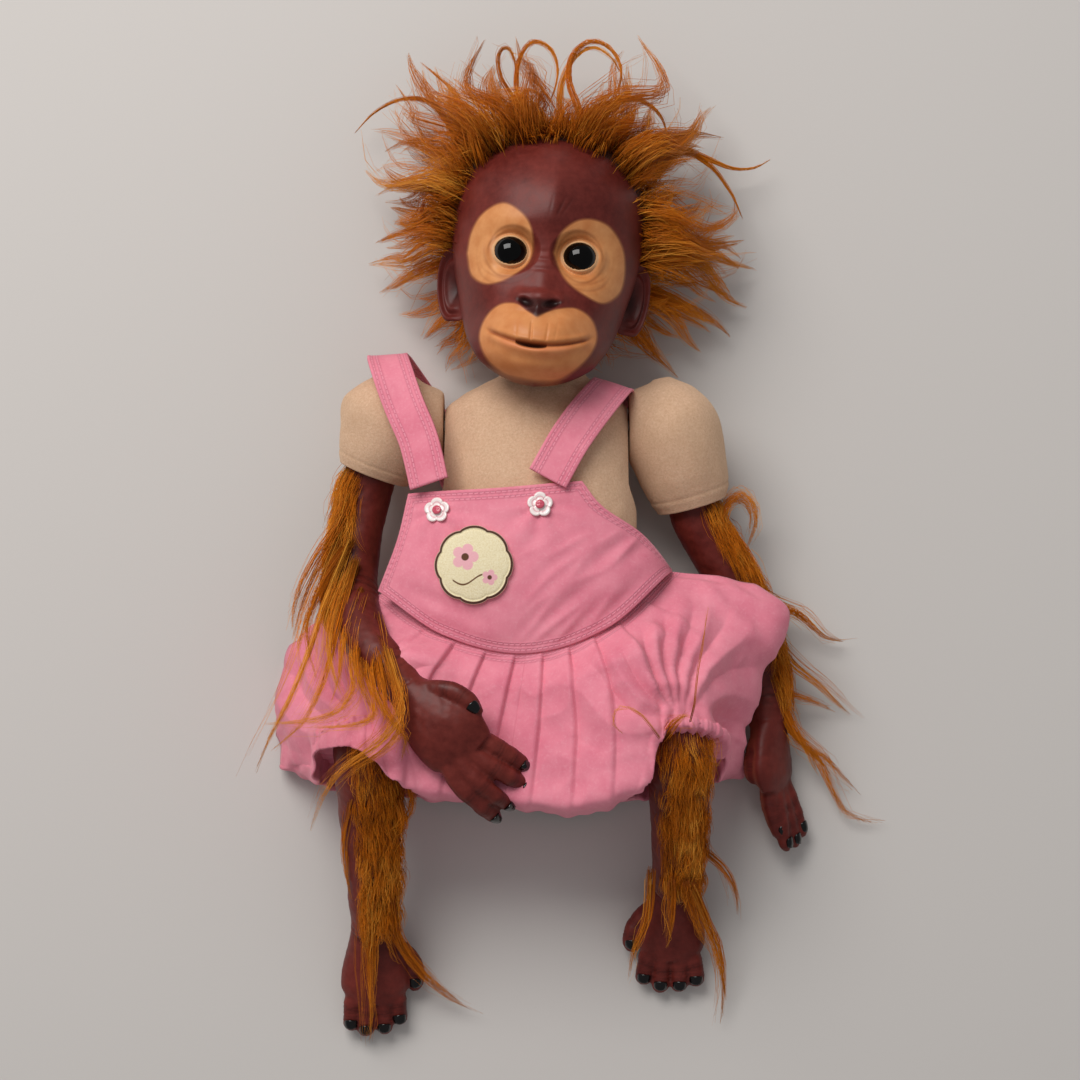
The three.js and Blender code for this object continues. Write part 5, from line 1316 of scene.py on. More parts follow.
# Fur of the limbs: the line it grows along, the side it covers, how it lies, and the locks that hang off it
FUR = {
    "right_arm": {
        "start": 0.05, "end": 0.55, "side": [-1, 0, 0.5], "lay": [-0.20, -1, 0], "length": (12, 30),
        "count": 420,
        "locks": [
            [[352, 500, 44], [322, 560, 50], [300, 610, 52], [291, 640, 60]],
            [[350, 520, 44], [325, 580, 52], [306, 620, 66], [297, 652, 78]],
            [
                [350, 540, 48], [322, 610, 64], [306, 660, 92], [288, 705, 96], [262, 750, 84],
                [254, 774, 70]
            ],
            [[356, 560, 54], [334, 640, 86], [322, 690, 104], [300, 730, 104], [272, 752, 96]],
            [
                [362, 600, 66], [352, 660, 92], [352, 706, 110], [312, 722, 112], [280, 722, 108],
                [258, 723, 100]
            ],
            [[372, 620, 76], [366, 680, 100], [380, 716, 116], [344, 726, 118], [306, 728, 114]],
            [
                [384, 640, 88], [398, 690, 112], [402, 730, 116], [368, 752, 112], [338, 772, 100],
                [318, 806, 84], [311, 832, 70]
            ],
            [[386, 650, 90], [402, 700, 114], [398, 742, 114], [360, 764, 106], [332, 790, 92]],
            [[378, 640, 84], [376, 690, 108], [392, 722, 116], [408, 744, 114], [398, 764, 108]],
            [[366, 610, 72], [356, 650, 92], [362, 690, 108], [376, 716, 114]],
            [[372, 620, 78], [380, 660, 98], [386, 700, 112], [382, 730, 114]],
            [[354, 560, 52], [330, 620, 78], [330, 660, 100], [344, 700, 110]],
            [[352, 540, 48], [318, 590, 60], [306, 640, 84], [318, 680, 100]],
            [[350, 510, 44], [314, 560, 52], [296, 600, 56], [293, 628, 66]],
            [[360, 590, 62], [342, 640, 86], [340, 680, 104], [330, 708, 108]],
        ],
    },
    "left_arm": {
        "start": 0.06, "end": 0.86, "side": [1, 0, 0.25], "lay": [0.22, -1, 0], "length": (12, 28),
        "count": 330,
        "locks": [
            [
                [722, 545, 34], [721, 512, 36], [737, 492, 36], [752, 500, 32], [755, 525, 28],
                [745, 550, 26]
            ],
            [[724, 548, 34], [724, 515, 38], [740, 496, 36], [750, 510, 32], [749, 534, 28]],
            [[750, 590, 26], [771, 603, 22], [800, 614, 16], [823, 638, 10], [844, 642, 5]],
            [[752, 586, 26], [780, 606, 20], [806, 622, 12], [824, 640, 7]],
            [[770, 640, 24], [796, 668, 20], [818, 684, 14], [838, 704, 8], [853, 717, 4]],
            [
                [770, 660, 28], [778, 690, 26], [788, 728, 20], [818, 756, 14], [839, 806, 9],
                [858, 822, 6], [886, 821, 4]
            ],
            [[770, 664, 28], [782, 700, 26], [796, 738, 20], [824, 756, 14], [846, 780, 9], [862, 795, 5]],
            [[768, 650, 28], [786, 692, 22], [812, 700, 14], [834, 711, 8]],
            [[772, 680, 28], [784, 716, 24], [800, 742, 18], [822, 760, 14], [834, 784, 10]],
            [[774, 690, 28], [790, 726, 22], [804, 748, 18], [816, 772, 12]],
            [[768, 640, 26], [780, 672, 24], [784, 704, 24], [792, 728, 20]],
        ],
    },
    "right_leg": {
        "start": 0.13, "end": 0.93, "side": [0.5, -0.1, 1], "lay": [0.02, -1, -0.42], "length": (8, 17),
        "count": 700,
        "locks": [
            [[385, 880, 54], [392, 930, 38], [420, 975, 20], [452, 1000, 10], [484, 1014, 5]],
            [[388, 890, 52], [400, 936, 34], [430, 978, 16], [462, 1004, 7]],
            [[372, 900, 52], [370, 960, 34], [371, 1010, 22], [369, 1046, 12]],
            [[376, 890, 54], [374, 950, 36], [374, 996, 26]],
            [[398, 800, 78], [404, 826, 72], [392, 836, 66], [374, 838, 66]],
            [[402, 760, 90], [412, 800, 78], [404, 822, 72], [386, 836, 68]],
            [[352, 800, 80], [344, 850, 60], [352, 900, 48]],
            [[392, 900, 50], [398, 940, 36], [412, 962, 24]],
            [[366, 880, 56], [362, 930, 42], [368, 962, 32]],
        ],
    },
    "left_leg": {
        "start": 0.12, "end": 0.93, "side": [0.22, -0.1, 1], "lay": [0.0, -1, -0.42], "length": (8, 17),
        "count": 700,
        "locks": [
            [[690, 880, 48], [706, 920, 32], [720, 950, 20], [724, 990, 10], [721, 1024, 5]],
            [[692, 886, 46], [710, 930, 28], [722, 966, 14], [726, 1000, 7]],
            [[652, 870, 50], [648, 920, 34], [634, 950, 22], [628, 978, 12]],
            [[664, 738, 92], [672, 724, 102], [684, 716, 106], [693, 714, 107]],
            [[702, 850, 46], [722, 866, 36], [736, 892, 22], [738, 916, 12]],
            [[672, 880, 52], [672, 920, 38], [668, 948, 30]],
            [[684, 880, 50], [694, 916, 36], [706, 946, 26]],
        ],
        "wisps": [
            [[690, 722, 104], [694, 706, 108], [697, 676, 110], [703, 640, 110], [709, 602, 108]],
            [
                [660, 738, 112], [641, 714, 118], [622, 706, 117], [613, 714, 115], [615, 728, 113],
                [624, 734, 109]
            ],
        ],
    },
}


def make_fur(name, line, widths, up, hair, seed):
    """Fur rooted on one side of a vinyl limb: short hair that lies along it, and long locks."""
    plan = FUR[name]
    random = np.random.default_rng(seed)
    path = spline(line, 160)
    along, across, out = frames(path, up)
    count = plan["count"]
    share = random.uniform(plan["start"], plan["end"], count)
    at = np.clip((share * 159).astype(int), 0, 159)
    facing = unit(np.array(plan["side"], float))
    angle = np.arctan2((facing * out[at]).sum(1), (facing * across[at]).sum(1))
    angle = angle + random.uniform(-1, 1, count) * 0.85
    wide, high = rows(widths, share, 1), rows(widths, share, 2)
    normal = across[at] * np.cos(angle)[:, None] + out[at] * np.sin(angle)[:, None]
    skin = path[at] + across[at] * (wide * np.cos(angle))[:, None] + out[at] * (high * np.sin(angle))[:, None]
    fullness = 0.62 + 0.12 * ripple(skin, seed + 9, 15)
    rooted = ((normal * facing).sum(1) > fullness) & ((skin[:, 1] < -125) | ("arm" in name))
    along, normal, skin, count = along[at][rooted], normal[rooted], skin[rooted], int(rooted.sum())
    length = random.uniform(*plan["length"], count)[:, None]
    lay = along * 0.75 + np.array(plan["lay"]) * 0.35 + random.normal(size=(count, 3)) * 0.10
    lay = unit(lay - normal * (lay * normal).sum(1, keepdims=True))
    curl = np.cross(normal, lay) * random.normal(0, 0.12, (count, 1))
    raised, far, bent = (
        np.array(v)[:, None, None] for v in ([1.0, 1.3, 0.9], [0.3, 0.65, 1.0], [0, 1, 1.6])
    )
    rest = skin + raised * normal + (lay + curl * bent) * (far * length)
    guides = np.concatenate([(skin - normal * 0.6)[None], rest]).transpose(1, 0, 2)
    tones = 0.5 + 0.34 * ripple(skin, seed, 13)
    short = grow(
        guides, [9] * count, 3.2, 2.4, seed + 1, 5, shortest=0.5, frizz=0.25, sway=0.3, thick=0.12,
        tones=tones
    )
    locks = np.stack([spline(seen(k), 7) for k in plan["locks"]])
    locks[..., 2] += 4.5 * step(locks[..., 2], 92, 104)
    grown = [grow(locks, [34] * len(locks), 2.6, 1.5, seed + 2, frizz=0.5, sway=0.6, thick=0.14)]
    loose = locks + random.normal(size=(len(locks), 1, 3)) * [4, 3, 1]
    grown.append(
        grow(loose, [10] * len(locks), 3.6, 2.6, seed + 3, shortest=0.5, frizz=1.2, sway=1.5, thick=0.12)
    )
    for i, wisp in enumerate(plan.get("wisps", [])):
        line = spline(seen(wisp), 14)[None]
        grown.append(grow(line, [8], 0.9, 0.5, seed + 4 + i, shortest=0.8, frizz=0.3, sway=0, thick=0.12))
    return strands(f"{name}_fur_strands", [short], hair), strands(f"{name}_fur_locks", grown, hair)


# Romper

# In millimetres: room for the cloth, the bib's height over the body, the strap's width, a layer of cotton
CLOTH, BIB_LIFT, STRAP_WIDTH, THIN = 2.2, 1.2, 22.0, 1.2
# A double layer, pressed flat
DOUBLE = 1.5
# Distance that stands for no seam near
NO_SEAM = 99.0
# Lines of the pattern: the share of the way along, then the place or the height there
WAIST_EXTRA = [[-90, 36, 24], [-50, 34, 18], [-20, 28, 8], [5, 24, 4], [30, 20, 4]]
BIB_LEFT = [[0, -70], [0.5, -76], [1, -86]]
BIB_RIGHT = [[0, 22], [0.3, 33], [0.6, 54], [1, 71]]
BIB_TOP = [[0, 2], [0.5, 3], [1, 7]]
WAIST_SEAM = [[0, -50], [0.22, -74], [0.5, -84], [0.78, -70], [1, -38]]
HEM_X = [[0, -144], [0.8, 56], [1, 112]]
HEM_Y = [
    [0, -142], [0.12, -152], [0.35, -160], [0.5, -164], [0.66, -168], [0.78, -160], [0.9, -154], [1, -146]
]
HEM_Z = [[0, 5], [0.2, 8], [0.5, 14], [0.8, 8], [1, 5]]
SWELL_X = [[0, -26], [0.2, -6], [0.5, 0], [0.8, 10], [1, 42]]
SWELL_Y = [[0, 14], [0.2, 6], [0.5, 0], [0.8, 8], [1, 30]]
REACH = [[0, 0], [0.3, 0.4], [0.72, 0.93], [0.9, 1.01], [1, 1]]
DOME = [[0, 0.93], [0.12, 0.98], [0.3, 1], [0.6, 1.02], [0.8, 0.98], [0.93, 0.55], [1, 0.08]]
DOME_HIGH = [[0, 66], [0.2, 105], [0.33, 94], [0.5, 92], [0.62, 96], [0.8, 105], [1, 66]]
EDGE_RIGHT = [[0, 50], [0.2, 26], [0.5, 6], [1, 5]]
EDGE_LEFT = [[0, 52], [0.3, 48], [0.6, 42], [0.8, 14], [1, 6]]
CUFFS = {
    side: {"top": np.array([x, -121, 98]), "bottom": np.array([x, -143, 34]), "wide": 26.0}
    for side, x in (("right", -92.0), ("left", 74.0))
}
CUFF_RADIUS = 2.0
PLEATS = 11
BACK_EDGE = [
    [48, 6], [56, -20], [70, -42], [86, -62], [95, -84], [106, -112], [110, -132], [104, -148], [60, -157],
    [0, -160],
    [-60, -158], [-112, -153], [-140, -142], [-148, -104], [-132, -66], [-104, -54], [-84, -44], [-62, -20],
    [-52, 6],
]
STRAPS = {
    "right": [
        [-59, 6, 88, -0.35, 0, 1], [-65, 30, 84, -0.3, -0.1, 1], [-74, 52, 77, -0.2, 0.1, 1],
        [-81, 72, 68, -0.1, 0.8, 0.8],
        [-84, 82, 50, 0, 1, 0.1], [-80, 80, 26, 0, 1, -0.4], [-70, 66, 6, 0, 0.5, -1],
        [-58, 44, 1.1, 0, 0, -1], [-40, 8, 1.1, 0, 0, -1],
    ],
    "left": [
        [4, 8, 94, 0, 0, 1], [16, 30, 89, 0, 0.1, 1], [29, 49, 80, 0.1, 0.4, 1],
        [38, 61, 69, 0.2, 0.8, 0.7],
        [41, 65, 48, 0.3, 1, 0.1], [39, 61, 22, 0.3, 1, -0.4], [33, 50, 5, 0, 0.5, -1],
        [26, 36, 1.1, 0, 0, -1], [20, 8, 1.1, 0, 0, -1],
    ],
}
BUTTONS = {"right": (-55.0, -8.0), "left": (0.0, -6.0)}
PATCH_AT, PATCH_RADIUS = (-35.0, -38.0), 21.0


def cloth_height(x, y):
    """Height of the cloth over the belly: an oval arch over the stuffed body, wider than it at the waist."""
    middle = rows(TORSO_ROWS, y, 1)
    low_y = np.clip(y, -90, 30)
    extra = np.where(x < middle, rows(WAIST_EXTRA, low_y, 1), rows(WAIST_EXTRA, low_y, 2))
    half = rows(TORSO_ROWS, y, 2) + GAP + extra
    low, high = rows(TORSO_ROWS, y, 3), rows(TORSO_ROWS, y, 4) + GAP + BIB_LIFT
    share = np.minimum(np.abs((x - middle) / half), 0.995)
    return (low + high) / 2 + (high - low) / 2 * (1 - share**2.2) ** 0.46


def bib_point(u, v):
    """Point of the bib at a share u across it and v down it, on the belly."""
    left, right = rows(BIB_LEFT, v, 1), rows(BIB_RIGHT, v, 1)
    top, seam = rows(BIB_TOP, u, 1), rows(WAIST_SEAM, u, 1)
    x, y = left + (right - left) * u, top + (seam - top) * v
    return np.stack([x, y, cloth_height(x, y) + CLOTH / 2], -1)


def skirt_point(u, v):
    """Balloon of the bloomers: from the waist seam it swells over the lap and knees, and tucks under."""
    seam = bib_point(u, np.ones_like(u))
    e = rows(REACH, v, 1)
    swell = np.sin(np.pi * np.minimum(e, 1))
    x = seam[..., 0] + (rows(HEM_X, u, 1) - seam[..., 0]) * e + rows(SWELL_X, u, 1) * swell
    x = x + (4 * bump(v, 0.34, 0.07) - 12 * bump(v, 0.6, 0.13)) * step(u, 0.84, 1)
    y = seam[..., 1] + (rows(HEM_Y, u, 1) - seam[..., 1]) * e + rows(SWELL_Y, u, 1) * swell
    rise = np.minimum(v / 0.18, 1)
    high = rows(DOME_HIGH, u, 1) * rows(DOME, v, 1)
    dome = seam[..., 2] + (high - seam[..., 2]) * rise * rise * (3 - 2 * rise)
    edge = np.where(u < 0.5, rows(EDGE_RIGHT, v, 1), rows(EDGE_LEFT, v, 1))
    inner = (1 - np.abs(2 * u - 1) ** 4) ** 0.6
    height = edge + (dome - edge) * inner
    last = step(v, 0.9, 1)
    return np.stack([x, y, height + (rows(HEM_Z, u, 1) - height) * last], -1)


def facing(grid):
    """Unit normals of a grid surface, turned upwards at its middle."""
    n = unit(np.cross(np.gradient(grid, axis=1), np.gradient(grid, axis=0)))
    return n if n[n.shape[0] // 2, n.shape[1] // 2, 2] > 0 else -n


def lengths(grid, axis):
    """Distance along a grid's rows or columns, from its first point."""
    d = np.linalg.norm(np.diff(grid, axis=axis), axis=-1)
    return np.concatenate([np.zeros_like(np.take(d, [0], axis)), np.cumsum(d, axis=axis)], axis)


def seams(grid, sides="lrtb"):
    """Distance from each point to the nearest named edge of a cloth, and the distance along that edge."""
    across, down = lengths(grid, 1), lengths(grid, 0)
    ways = {
        "l": (across, down), "r": (across[:, -1:] - across, down), "t": (down, across),
        "b": (down[-1:] - down, across)
    }
    edge, along = np.full(grid.shape[:2], NO_SEAM), np.zeros(grid.shape[:2])
    for away, run in (ways[s] for s in sides):
        near = away < edge
        edge, along = np.where(near, away, edge), np.where(near, run, along)
    return edge, along


def cloth_piece(name, grid, normal, thick, cotton, edge, along, kept=None):
    """Cloth as a body round a grid surface, with the distances from its seams for the stitching."""
    body = slab(grid + normal * thick / 2, grid - normal * thick / 2, kept)
    return piece(name, *body, cotton, edge=np.tile(edge.ravel(), 2), along=np.tile(along.ravel(), 2))


def make_bib(cotton):
    """Bib: two layers turned at the edge, in soft folds from the buttons, puckered by its stitching."""
    v, u = shares(116, 176)
    grid = bib_point(u, v)
    edge, along = seams(grid)
    x, y = grid[..., 0], grid[..., 1]
    pull = 0.0
    for (bx, by), lean in ((BUTTONS["right"], 0.5), (BUTTONS["left"], -0.6)):
        r = np.hypot(x - bx, y - by)
        a = np.arctan2(x - bx, by - y)
        pull = pull + 0.75 * np.sin(7 * a + lean) * bump(r, 14, 13) * step(-(y - by), -6, 6)
    slanted = np.stack([(x - y) * 0.8, (x + y) * 0.2], -1)
    right = step(x, -18, 4) * (1 - step(y, -30, -14))
    drape = 1.7 * (ridges(slanted, 3, 18) - 0.6) * right + 0.6 * ripple(
        np.stack([x * 0.5, y * 0.5], -1), 4, 16
    )
    low = 1.1 * np.sin((y + 0.45 * x + 60) / 2.6) * bump(x, -48, 17) * bump(y + 0.3 * x, -74, 11)
    pucker = 0.16 * np.sin(along * 2 * np.pi / 3.4) * bump(edge, 3.2, 2.0)
    roll = 0.5 * bump(edge, 0, 2.2)
    calm = step(edge, 0, 12)
    free = 1 - np.exp(-(((x - PATCH_AT[0]) / 26) ** 2 + ((y - PATCH_AT[1]) / 26) ** 2) ** 2)
    folds = (pull + (drape + low) * (0.3 + 0.7 * free)) * calm * 0.8
    grid = grid + facing(grid) * (folds + pucker + roll + 0.25)[..., None]
    return cloth_piece("bib_cloth", grid, facing(grid), DOUBLE, cotton, edge, along)


def ridges(p, seed, size):
    """Noise of 0 to 1 with sharp crests and broad hollows, as in cloth: a ripple folded up at its zeros."""
    return 1 - np.sqrt(ripple(p, seed, size) ** 2 + 0.006)


def pleat_relief(u, v, grid):
    """Knife pleats that run down from the waist, crisp in front, and the creases of a full cotton balloon."""
    phase = u * PLEATS + 0.16 * np.sin(7 * u + 1)
    saw = phase - np.floor(phase)
    side = step(np.abs(2 * u - 1), 0.40, 0.75)
    fade = step(v, 0.55 - 0.45 * side, 1.0 - 0.55 * side)
    knife = np.where(saw < 0.9, saw / 0.9, (1 - saw) / 0.1)
    soft = 0.5 + 0.5 * np.sin(2 * np.pi * (phase - 0.62))
    fold = (knife * (1 - fade) + soft * fade) - 0.5
    depth = 3.0 * step(v, 0.0, 0.05) * (1 - 0.5 * step(v, 0.3, 0.9)) * (1 - 0.55 * side)
    lean = np.sign(u - 0.5)
    x, y, z = np.moveaxis(grid, -1, 0)
    slanted = np.stack([x * 0.9 + lean * y * 0.9, (y - lean * x) * 0.28, z * 0.5], -1)
    crease = 3.4 * (ridges(slanted, 13, 34) - 0.5) * (0.12 + 0.88 * side) + 0.8 * (ridges(grid, 14, 26) - 0.5)
    swell = 1.0 * ripple(grid, 15, 40) * (0.4 + 0.6 * side)
    gathers = 0.5 * np.sin(u * 2 * np.pi * 21 + 2 * np.sin(9 * u)) * bump(v, 0.9, 0.06)
    return fold * depth + (crease + swell) * step(v, 0.02, 0.2) * (1 - 0.5 * step(v, 0.85, 1)) + gathers


def cuff_axes(cuff):
    """Of a leg opening's oval: its middle, its long half, the way across it and the way out of it."""
    middle = (cuff["top"] + cuff["bottom"]) / 2
    long = cuff["top"] - middle
    across = np.array([1.0, 0, 0])
    out = unit(np.cross(unit(long), across))
    return middle, long, across, -out if out[1] > 0 else out


def turn_in(grid, cuff):
    """Cloth that meets a leg opening turns in round it as a gathered collar, which runs down to the elastic.
    Inside the opening's oval a point goes to the rim, and the further inside it was, the deeper it goes.
    Returns the new grid and which points are kept: those past the elastic are cut away."""
    middle, long, across, out = cuff_axes(cuff)
    tall = np.linalg.norm(long)
    p = grid - middle
    a, b, d = p @ across / cuff["wide"], p @ long / tall**2, p @ out
    q = np.hypot(a, b)
    turn = np.arctan2(b, a)
    inwards = np.clip(1 - q, 0, 1)
    deep = d - inwards * 45
    level = np.where(d > 0.3, np.maximum(deep, 0.3), d + (0.3 - d) * step(inwards, 0, 0.12))
    near = 1 - step(np.abs(level - 0.3), 0, 9)
    rim = np.where(q < 1, 1.10 - 0.07 * near, np.where(q < 1.25, 1.10 + (q - 1) * 0.6, q))
    wave = np.sin(turn * 22 + 2 * np.sin(3 * turn))
    rim = rim + 0.035 * wave * (1 - step(np.abs(q - 0.95), 0.1, 0.35))
    qq = np.maximum(q, 1e-6)
    sideways, upright = (a / qq * rim * cuff["wide"])[..., None] * across, (b / qq * rim)[..., None] * long
    held = middle + sideways + upright + level[..., None] * out
    weight = (step(d, -12, -4) * (q < 1.3))[..., None]
    kept = (q >= 1) | (d < -9) | np.where(
        d > 0.3, deep > -2.5, (inwards < 0.14) | (b > 0.4) & (inwards < 0.6)
    )
    return grid * (1 - weight) + held * weight, kept


def pulled(grid, cuff):
    """Folds that a leg opening's elastic draws out of the cloth: sharp rays round the top of the opening."""
    x, y = grid[..., 0] - cuff["top"][0], grid[..., 1] - cuff["top"][1] + 2
    away, turn = np.hypot(x, y), np.arctan2(x, y)
    phase = turn * 2.6 + 0.7 * np.sin(2.3 * turn + 0.5) + 0.3 * np.sin(away / 13)
    fold = np.abs(2 * (phase - np.floor(phase)) - 1) - 0.5
    return 4.2 * fold * step(away, 6, 30) * (1 - step(away, 48, 84)) * (1 - step(np.abs(turn), 1.5, 2.1))


def make_bloomers(cotton):
    """Bloomers: the pleated balloon, open at each knee, in two halves that meet at the middle seam."""
    v, u = shares(200, 330)
    grid = skirt_point(u, v)
    relief = (
        pleat_relief(u, v, grid) + sum(pulled(grid, cuff) for cuff in CUFFS.values()) * step(v, 0.05, 0.2)
    )
    grid = grid + facing(grid) * (CLOTH / 2 - THIN / 2 + relief - 0.6)[..., None]
    keep = np.ones(grid.shape[:2], bool)
    for cuff in CUFFS.values():
        grid, kept = turn_in(grid, cuff)
        keep &= kept
    grid[..., 2] = np.maximum(grid[..., 2], CLOTH + GAP + THIN / 2 + 0.3)
    edge, along = seams(grid, "t")
    half = grid.shape[1] // 2
    out = []
    under = np.zeros(grid.shape[1])
    under[half + 1 : half + 4] = 0.35
    for name, part in (("right", slice(0, half + 4)), ("left", slice(half, None))):
        n = facing(grid)[:, part]
        sub = grid[:, part] - n * (under[part, None] * (name == "right"))
        seam = edge[:, part], along[:, part]
        out.append(cloth_piece(f"{name}_bloomer_cloth", sub, n, THIN, cotton, *seam, keep[:, part]))
    return out


def make_back(cotton):
    """Back panel: flat cloth under the body, its edge turned and a little wavy."""
    edge_line = spline(BACK_EDGE + BACK_EDGE[:1], 180)[:-1]
    middle = np.array([-20.0, -80.0])
    share = np.linspace(0.02, 1, 24)[:, None, None]
    flat = middle + (edge_line[None] - middle) * share
    turn = np.linspace(0, 2 * np.pi * 19, len(edge_line), endpoint=False)
    wave = 0.35 + 0.35 * np.sin(turn)[None] * share[..., 0] ** 6
    top = np.concatenate([flat, np.full((*flat.shape[:2], 1), 1.9) + wave[..., None] * 0.5], -1)
    bottom = np.concatenate([flat, np.full((*flat.shape[:2], 1), 0.25)], -1)
    return piece(
        "back_cloth", *capped(np.concatenate([bottom, top[::-1]])), cotton, edge=NO_SEAM, along=0.0
    )


def make_strap(name, cotton):
    """Strap: a double band, pressed flat, stitched along both edges, with a soft wave where it turns over."""
    data = np.array(STRAPS[name], float)
    count = 170
    line = spline(data[:, :3], count)
    t = np.linspace(0, len(data) - 1, count)
    out = np.stack([np.interp(t, np.arange(len(data)), data[:, k]) for k in (3, 4, 5)], 1)
    along = np.gradient(line, axis=0)
    across = unit(np.cross(along, out))
    n = unit(np.cross(across, along))
    u = np.linspace(-0.5, 0.5, 22)
    grid = line[:, None] + across[:, None] * (u * STRAP_WIDTH)[None, :, None]
    wave = 0.4 * ripple(grid, 51, 30) * (1 - step(np.linspace(0, 1, count), 0.55, 0.7))[:, None]
    roll = 0.25 * bump((0.5 - np.abs(u)) * STRAP_WIDTH, 0, 1.6)
    outwards = n if (n * out).sum() > 0 else -n
    grid = grid + outwards[:, None] * (wave + roll)[..., None]
    grid[..., 2] = np.maximum(grid[..., 2], 1.0)
    edge, run = seams(grid, "lr")
    return cloth_piece(f"{name}_strap_cloth", grid, facing(grid), DOUBLE, cotton, edge, run)


def make_elastic(name, cotton):
    """Gathered casing of the leg elastic: a soft oval ring, ruffled, whose cloth runs in to the leg."""
    cuff = CUFFS[name]
    middle, long, across, out = cuff_axes(cuff)
    count_a, count_b = 360, 30
    a = turns(count_a)[:, None]
    b = turns(count_b)[None, :]
    inner = np.clip(-np.cos(b), 0, 1) ** 1.5
    gather = 1 + 0.22 * np.sin(26 * a + 2 * np.sin(3 * a)) + 0.08 * np.sin(61 * a)
    radial = across * np.cos(a) * cuff["wide"] + long * np.sin(a)
    reach = np.linalg.norm(radial, axis=1, keepdims=True) * 0.40
    outwards = CUFF_RADIUS * 0.95 * gather * np.cos(b) - inner * reach
    ring = middle + radial[:, None] + unit(radial)[:, None] * outwards[..., None]
    level = CUFF_RADIUS * 1.5 * gather * np.sin(b) * (1 - 0.75 * inner) + inner * (4.5 + 1.5 * np.sin(26 * a))
    faces = quads(count_a, count_b, closed_u=True, closed_v=True)
    return piece(
        f"{name}_elastic_cloth", ring + out * level[..., None], faces, cotton, edge=NO_SEAM, along=0.0
    )


# Buttons and patch

def laid(x, y, radius, levels, steps, outline, lift=0.0, swell=None):
    """A flat piece on the bib: rings of an outline, each with a share of the radius and a height."""
    a = turns(steps)
    share, level = np.array(levels).T[:, :, None]
    r = radius * outline(a)[None] * share
    px, py = x + r * np.sin(a), y + r * np.cos(a)
    z = cloth_height(px, py) + CLOTH + GAP + lift + level
    if swell is not None:
        z = z + swell(px - x, py - y, share) * (level > 0.5)
    return np.stack([px, py, z], -1)


# The button's two parts: radius, then rings of [share of the radius, height]
PLATE_RADIUS, STUD_RADIUS, STUD_LIFT = 7.0, 2.4, 2.3
PLATE_LEVELS = [
    [0.05, 0.05], [0.9, 0.05], [0.97, 0.4], [1, 1.0], [0.98, 1.5], [0.93, 1.85], [0.86, 1.98], [0.78, 1.85],
    [0.68, 1.6], [0.55, 1.5], [0.42, 1.6], [0.34, 1.75], [0.2, 1.8], [0.05, 1.8],
]
STUD_LEVELS = [
    [0.05, 0.05], [0.92, 0.05], [1, 0.35], [1, 0.7], [0.9, 1.0], [0.7, 1.2], [0.4, 1.32], [0.1, 1.36]
]


def make_button(name, pearl, stud):
    """Flower button: five cupped petals with a raised rim and grooves between them, and a round stud."""
    x, y = BUTTONS[name]
    petals = lambda a: 0.80 + 0.20 * np.abs(np.cos(2.5 * a)) ** 0.8
    between = lambda u, v: bump(np.abs(np.cos(2.5 * np.arctan2(u, v))), 0, 0.22)
    groove = lambda u, v, share: -0.45 * between(u, v) * np.clip(share * 2 - 0.5, 0, 1)
    grid = laid(x, y, PLATE_RADIUS, PLATE_LEVELS, 150, petals, swell=groove)
    share, level = np.array(PLATE_LEVELS).T[:, :, None]
    plate = piece(
        f"{name}_flower", *capped(grid), pearl, mark=on_grid(share * (level > 1.4), grid, [0, 0.05])
    )
    dimple = lambda u, v, share: -0.5 * (bump(u, 0.75, 0.4) + bump(u, -0.75, 0.4)) * bump(v, 0, 0.4)
    grid = laid(x, y, STUD_RADIUS, STUD_LEVELS, 48, np.ones_like, STUD_LIFT, swell=dimple)
    return plate, piece(f"{name}_flower_centre", *capped(grid), stud)


def make_patch(felt):
    """Sewn patch: a padded round with eight soft scallops and a corded dark edge."""
    scallops = lambda a: 0.93 + 0.07 * np.abs(np.cos(4 * a)) ** 0.6
    share = np.concatenate([[0.05, 0.5, 0.96, 1.0, 1.0, 0.99], np.linspace(0.97, 0.03, 60)])
    level = np.concatenate([[0.05, 0.05, 0.1, 0.5, 1.1, 1.6], np.full(60, 1.75)])
    swell = lambda u, v, s: 1 - s**2 + 0.6 * bump(s, 0.955, 0.03) - 0.35 * bump(s, 0.895, 0.03)
    grid = laid(*PATCH_AT, PATCH_RADIUS, np.c_[share, level], 180, scallops, GAP, swell)
    points, faces = capped(grid)
    local = points[:, :2] - np.array(PATCH_AT)
    rim = on_grid((bump(share, 0.96, 0.035) * (level > 0.4))[:, None], grid)
    return piece("bib_patch_felt", points, faces, felt, rim=rim, px=local[:, 0], py=local[:, 1])


# Finishes

def build_mottle(r, given):
    """Blotches of two sizes, mixed round the middle: a number of about 0 to 1."""
    broad = r.noise(given["Place"], given["Broad"], 3.0, 0.6)
    fine = r.noise(given["Place"], given["Fine"], 4.0, 0.65)
    return {"Value": r.plus(r.times(broad, 0.6), r.times(fine, 0.4))}


def build_stitch(r, given):
    """Rows of stitches: dashes at a set distance from a seam, by the distance to it and along it."""
    off = r.math("ABSOLUTE", r.minus(given["Edge"], given["Row"]))
    line = r.ramp(off, (0.15, 1.0), (0.55, 0.0))
    dash = r.math("PINGPONG", given["Along"], 1.5)
    on = r.ramp(dash, (0.15, 0.0), (0.45, 1.0))
    # Groove is a band round each row, used for its relief and for painted shade.
    return {"Stitch": r.times(line, on), "Groove": r.ramp(off, (0.2, 1.0), (1.3, 0.0))}


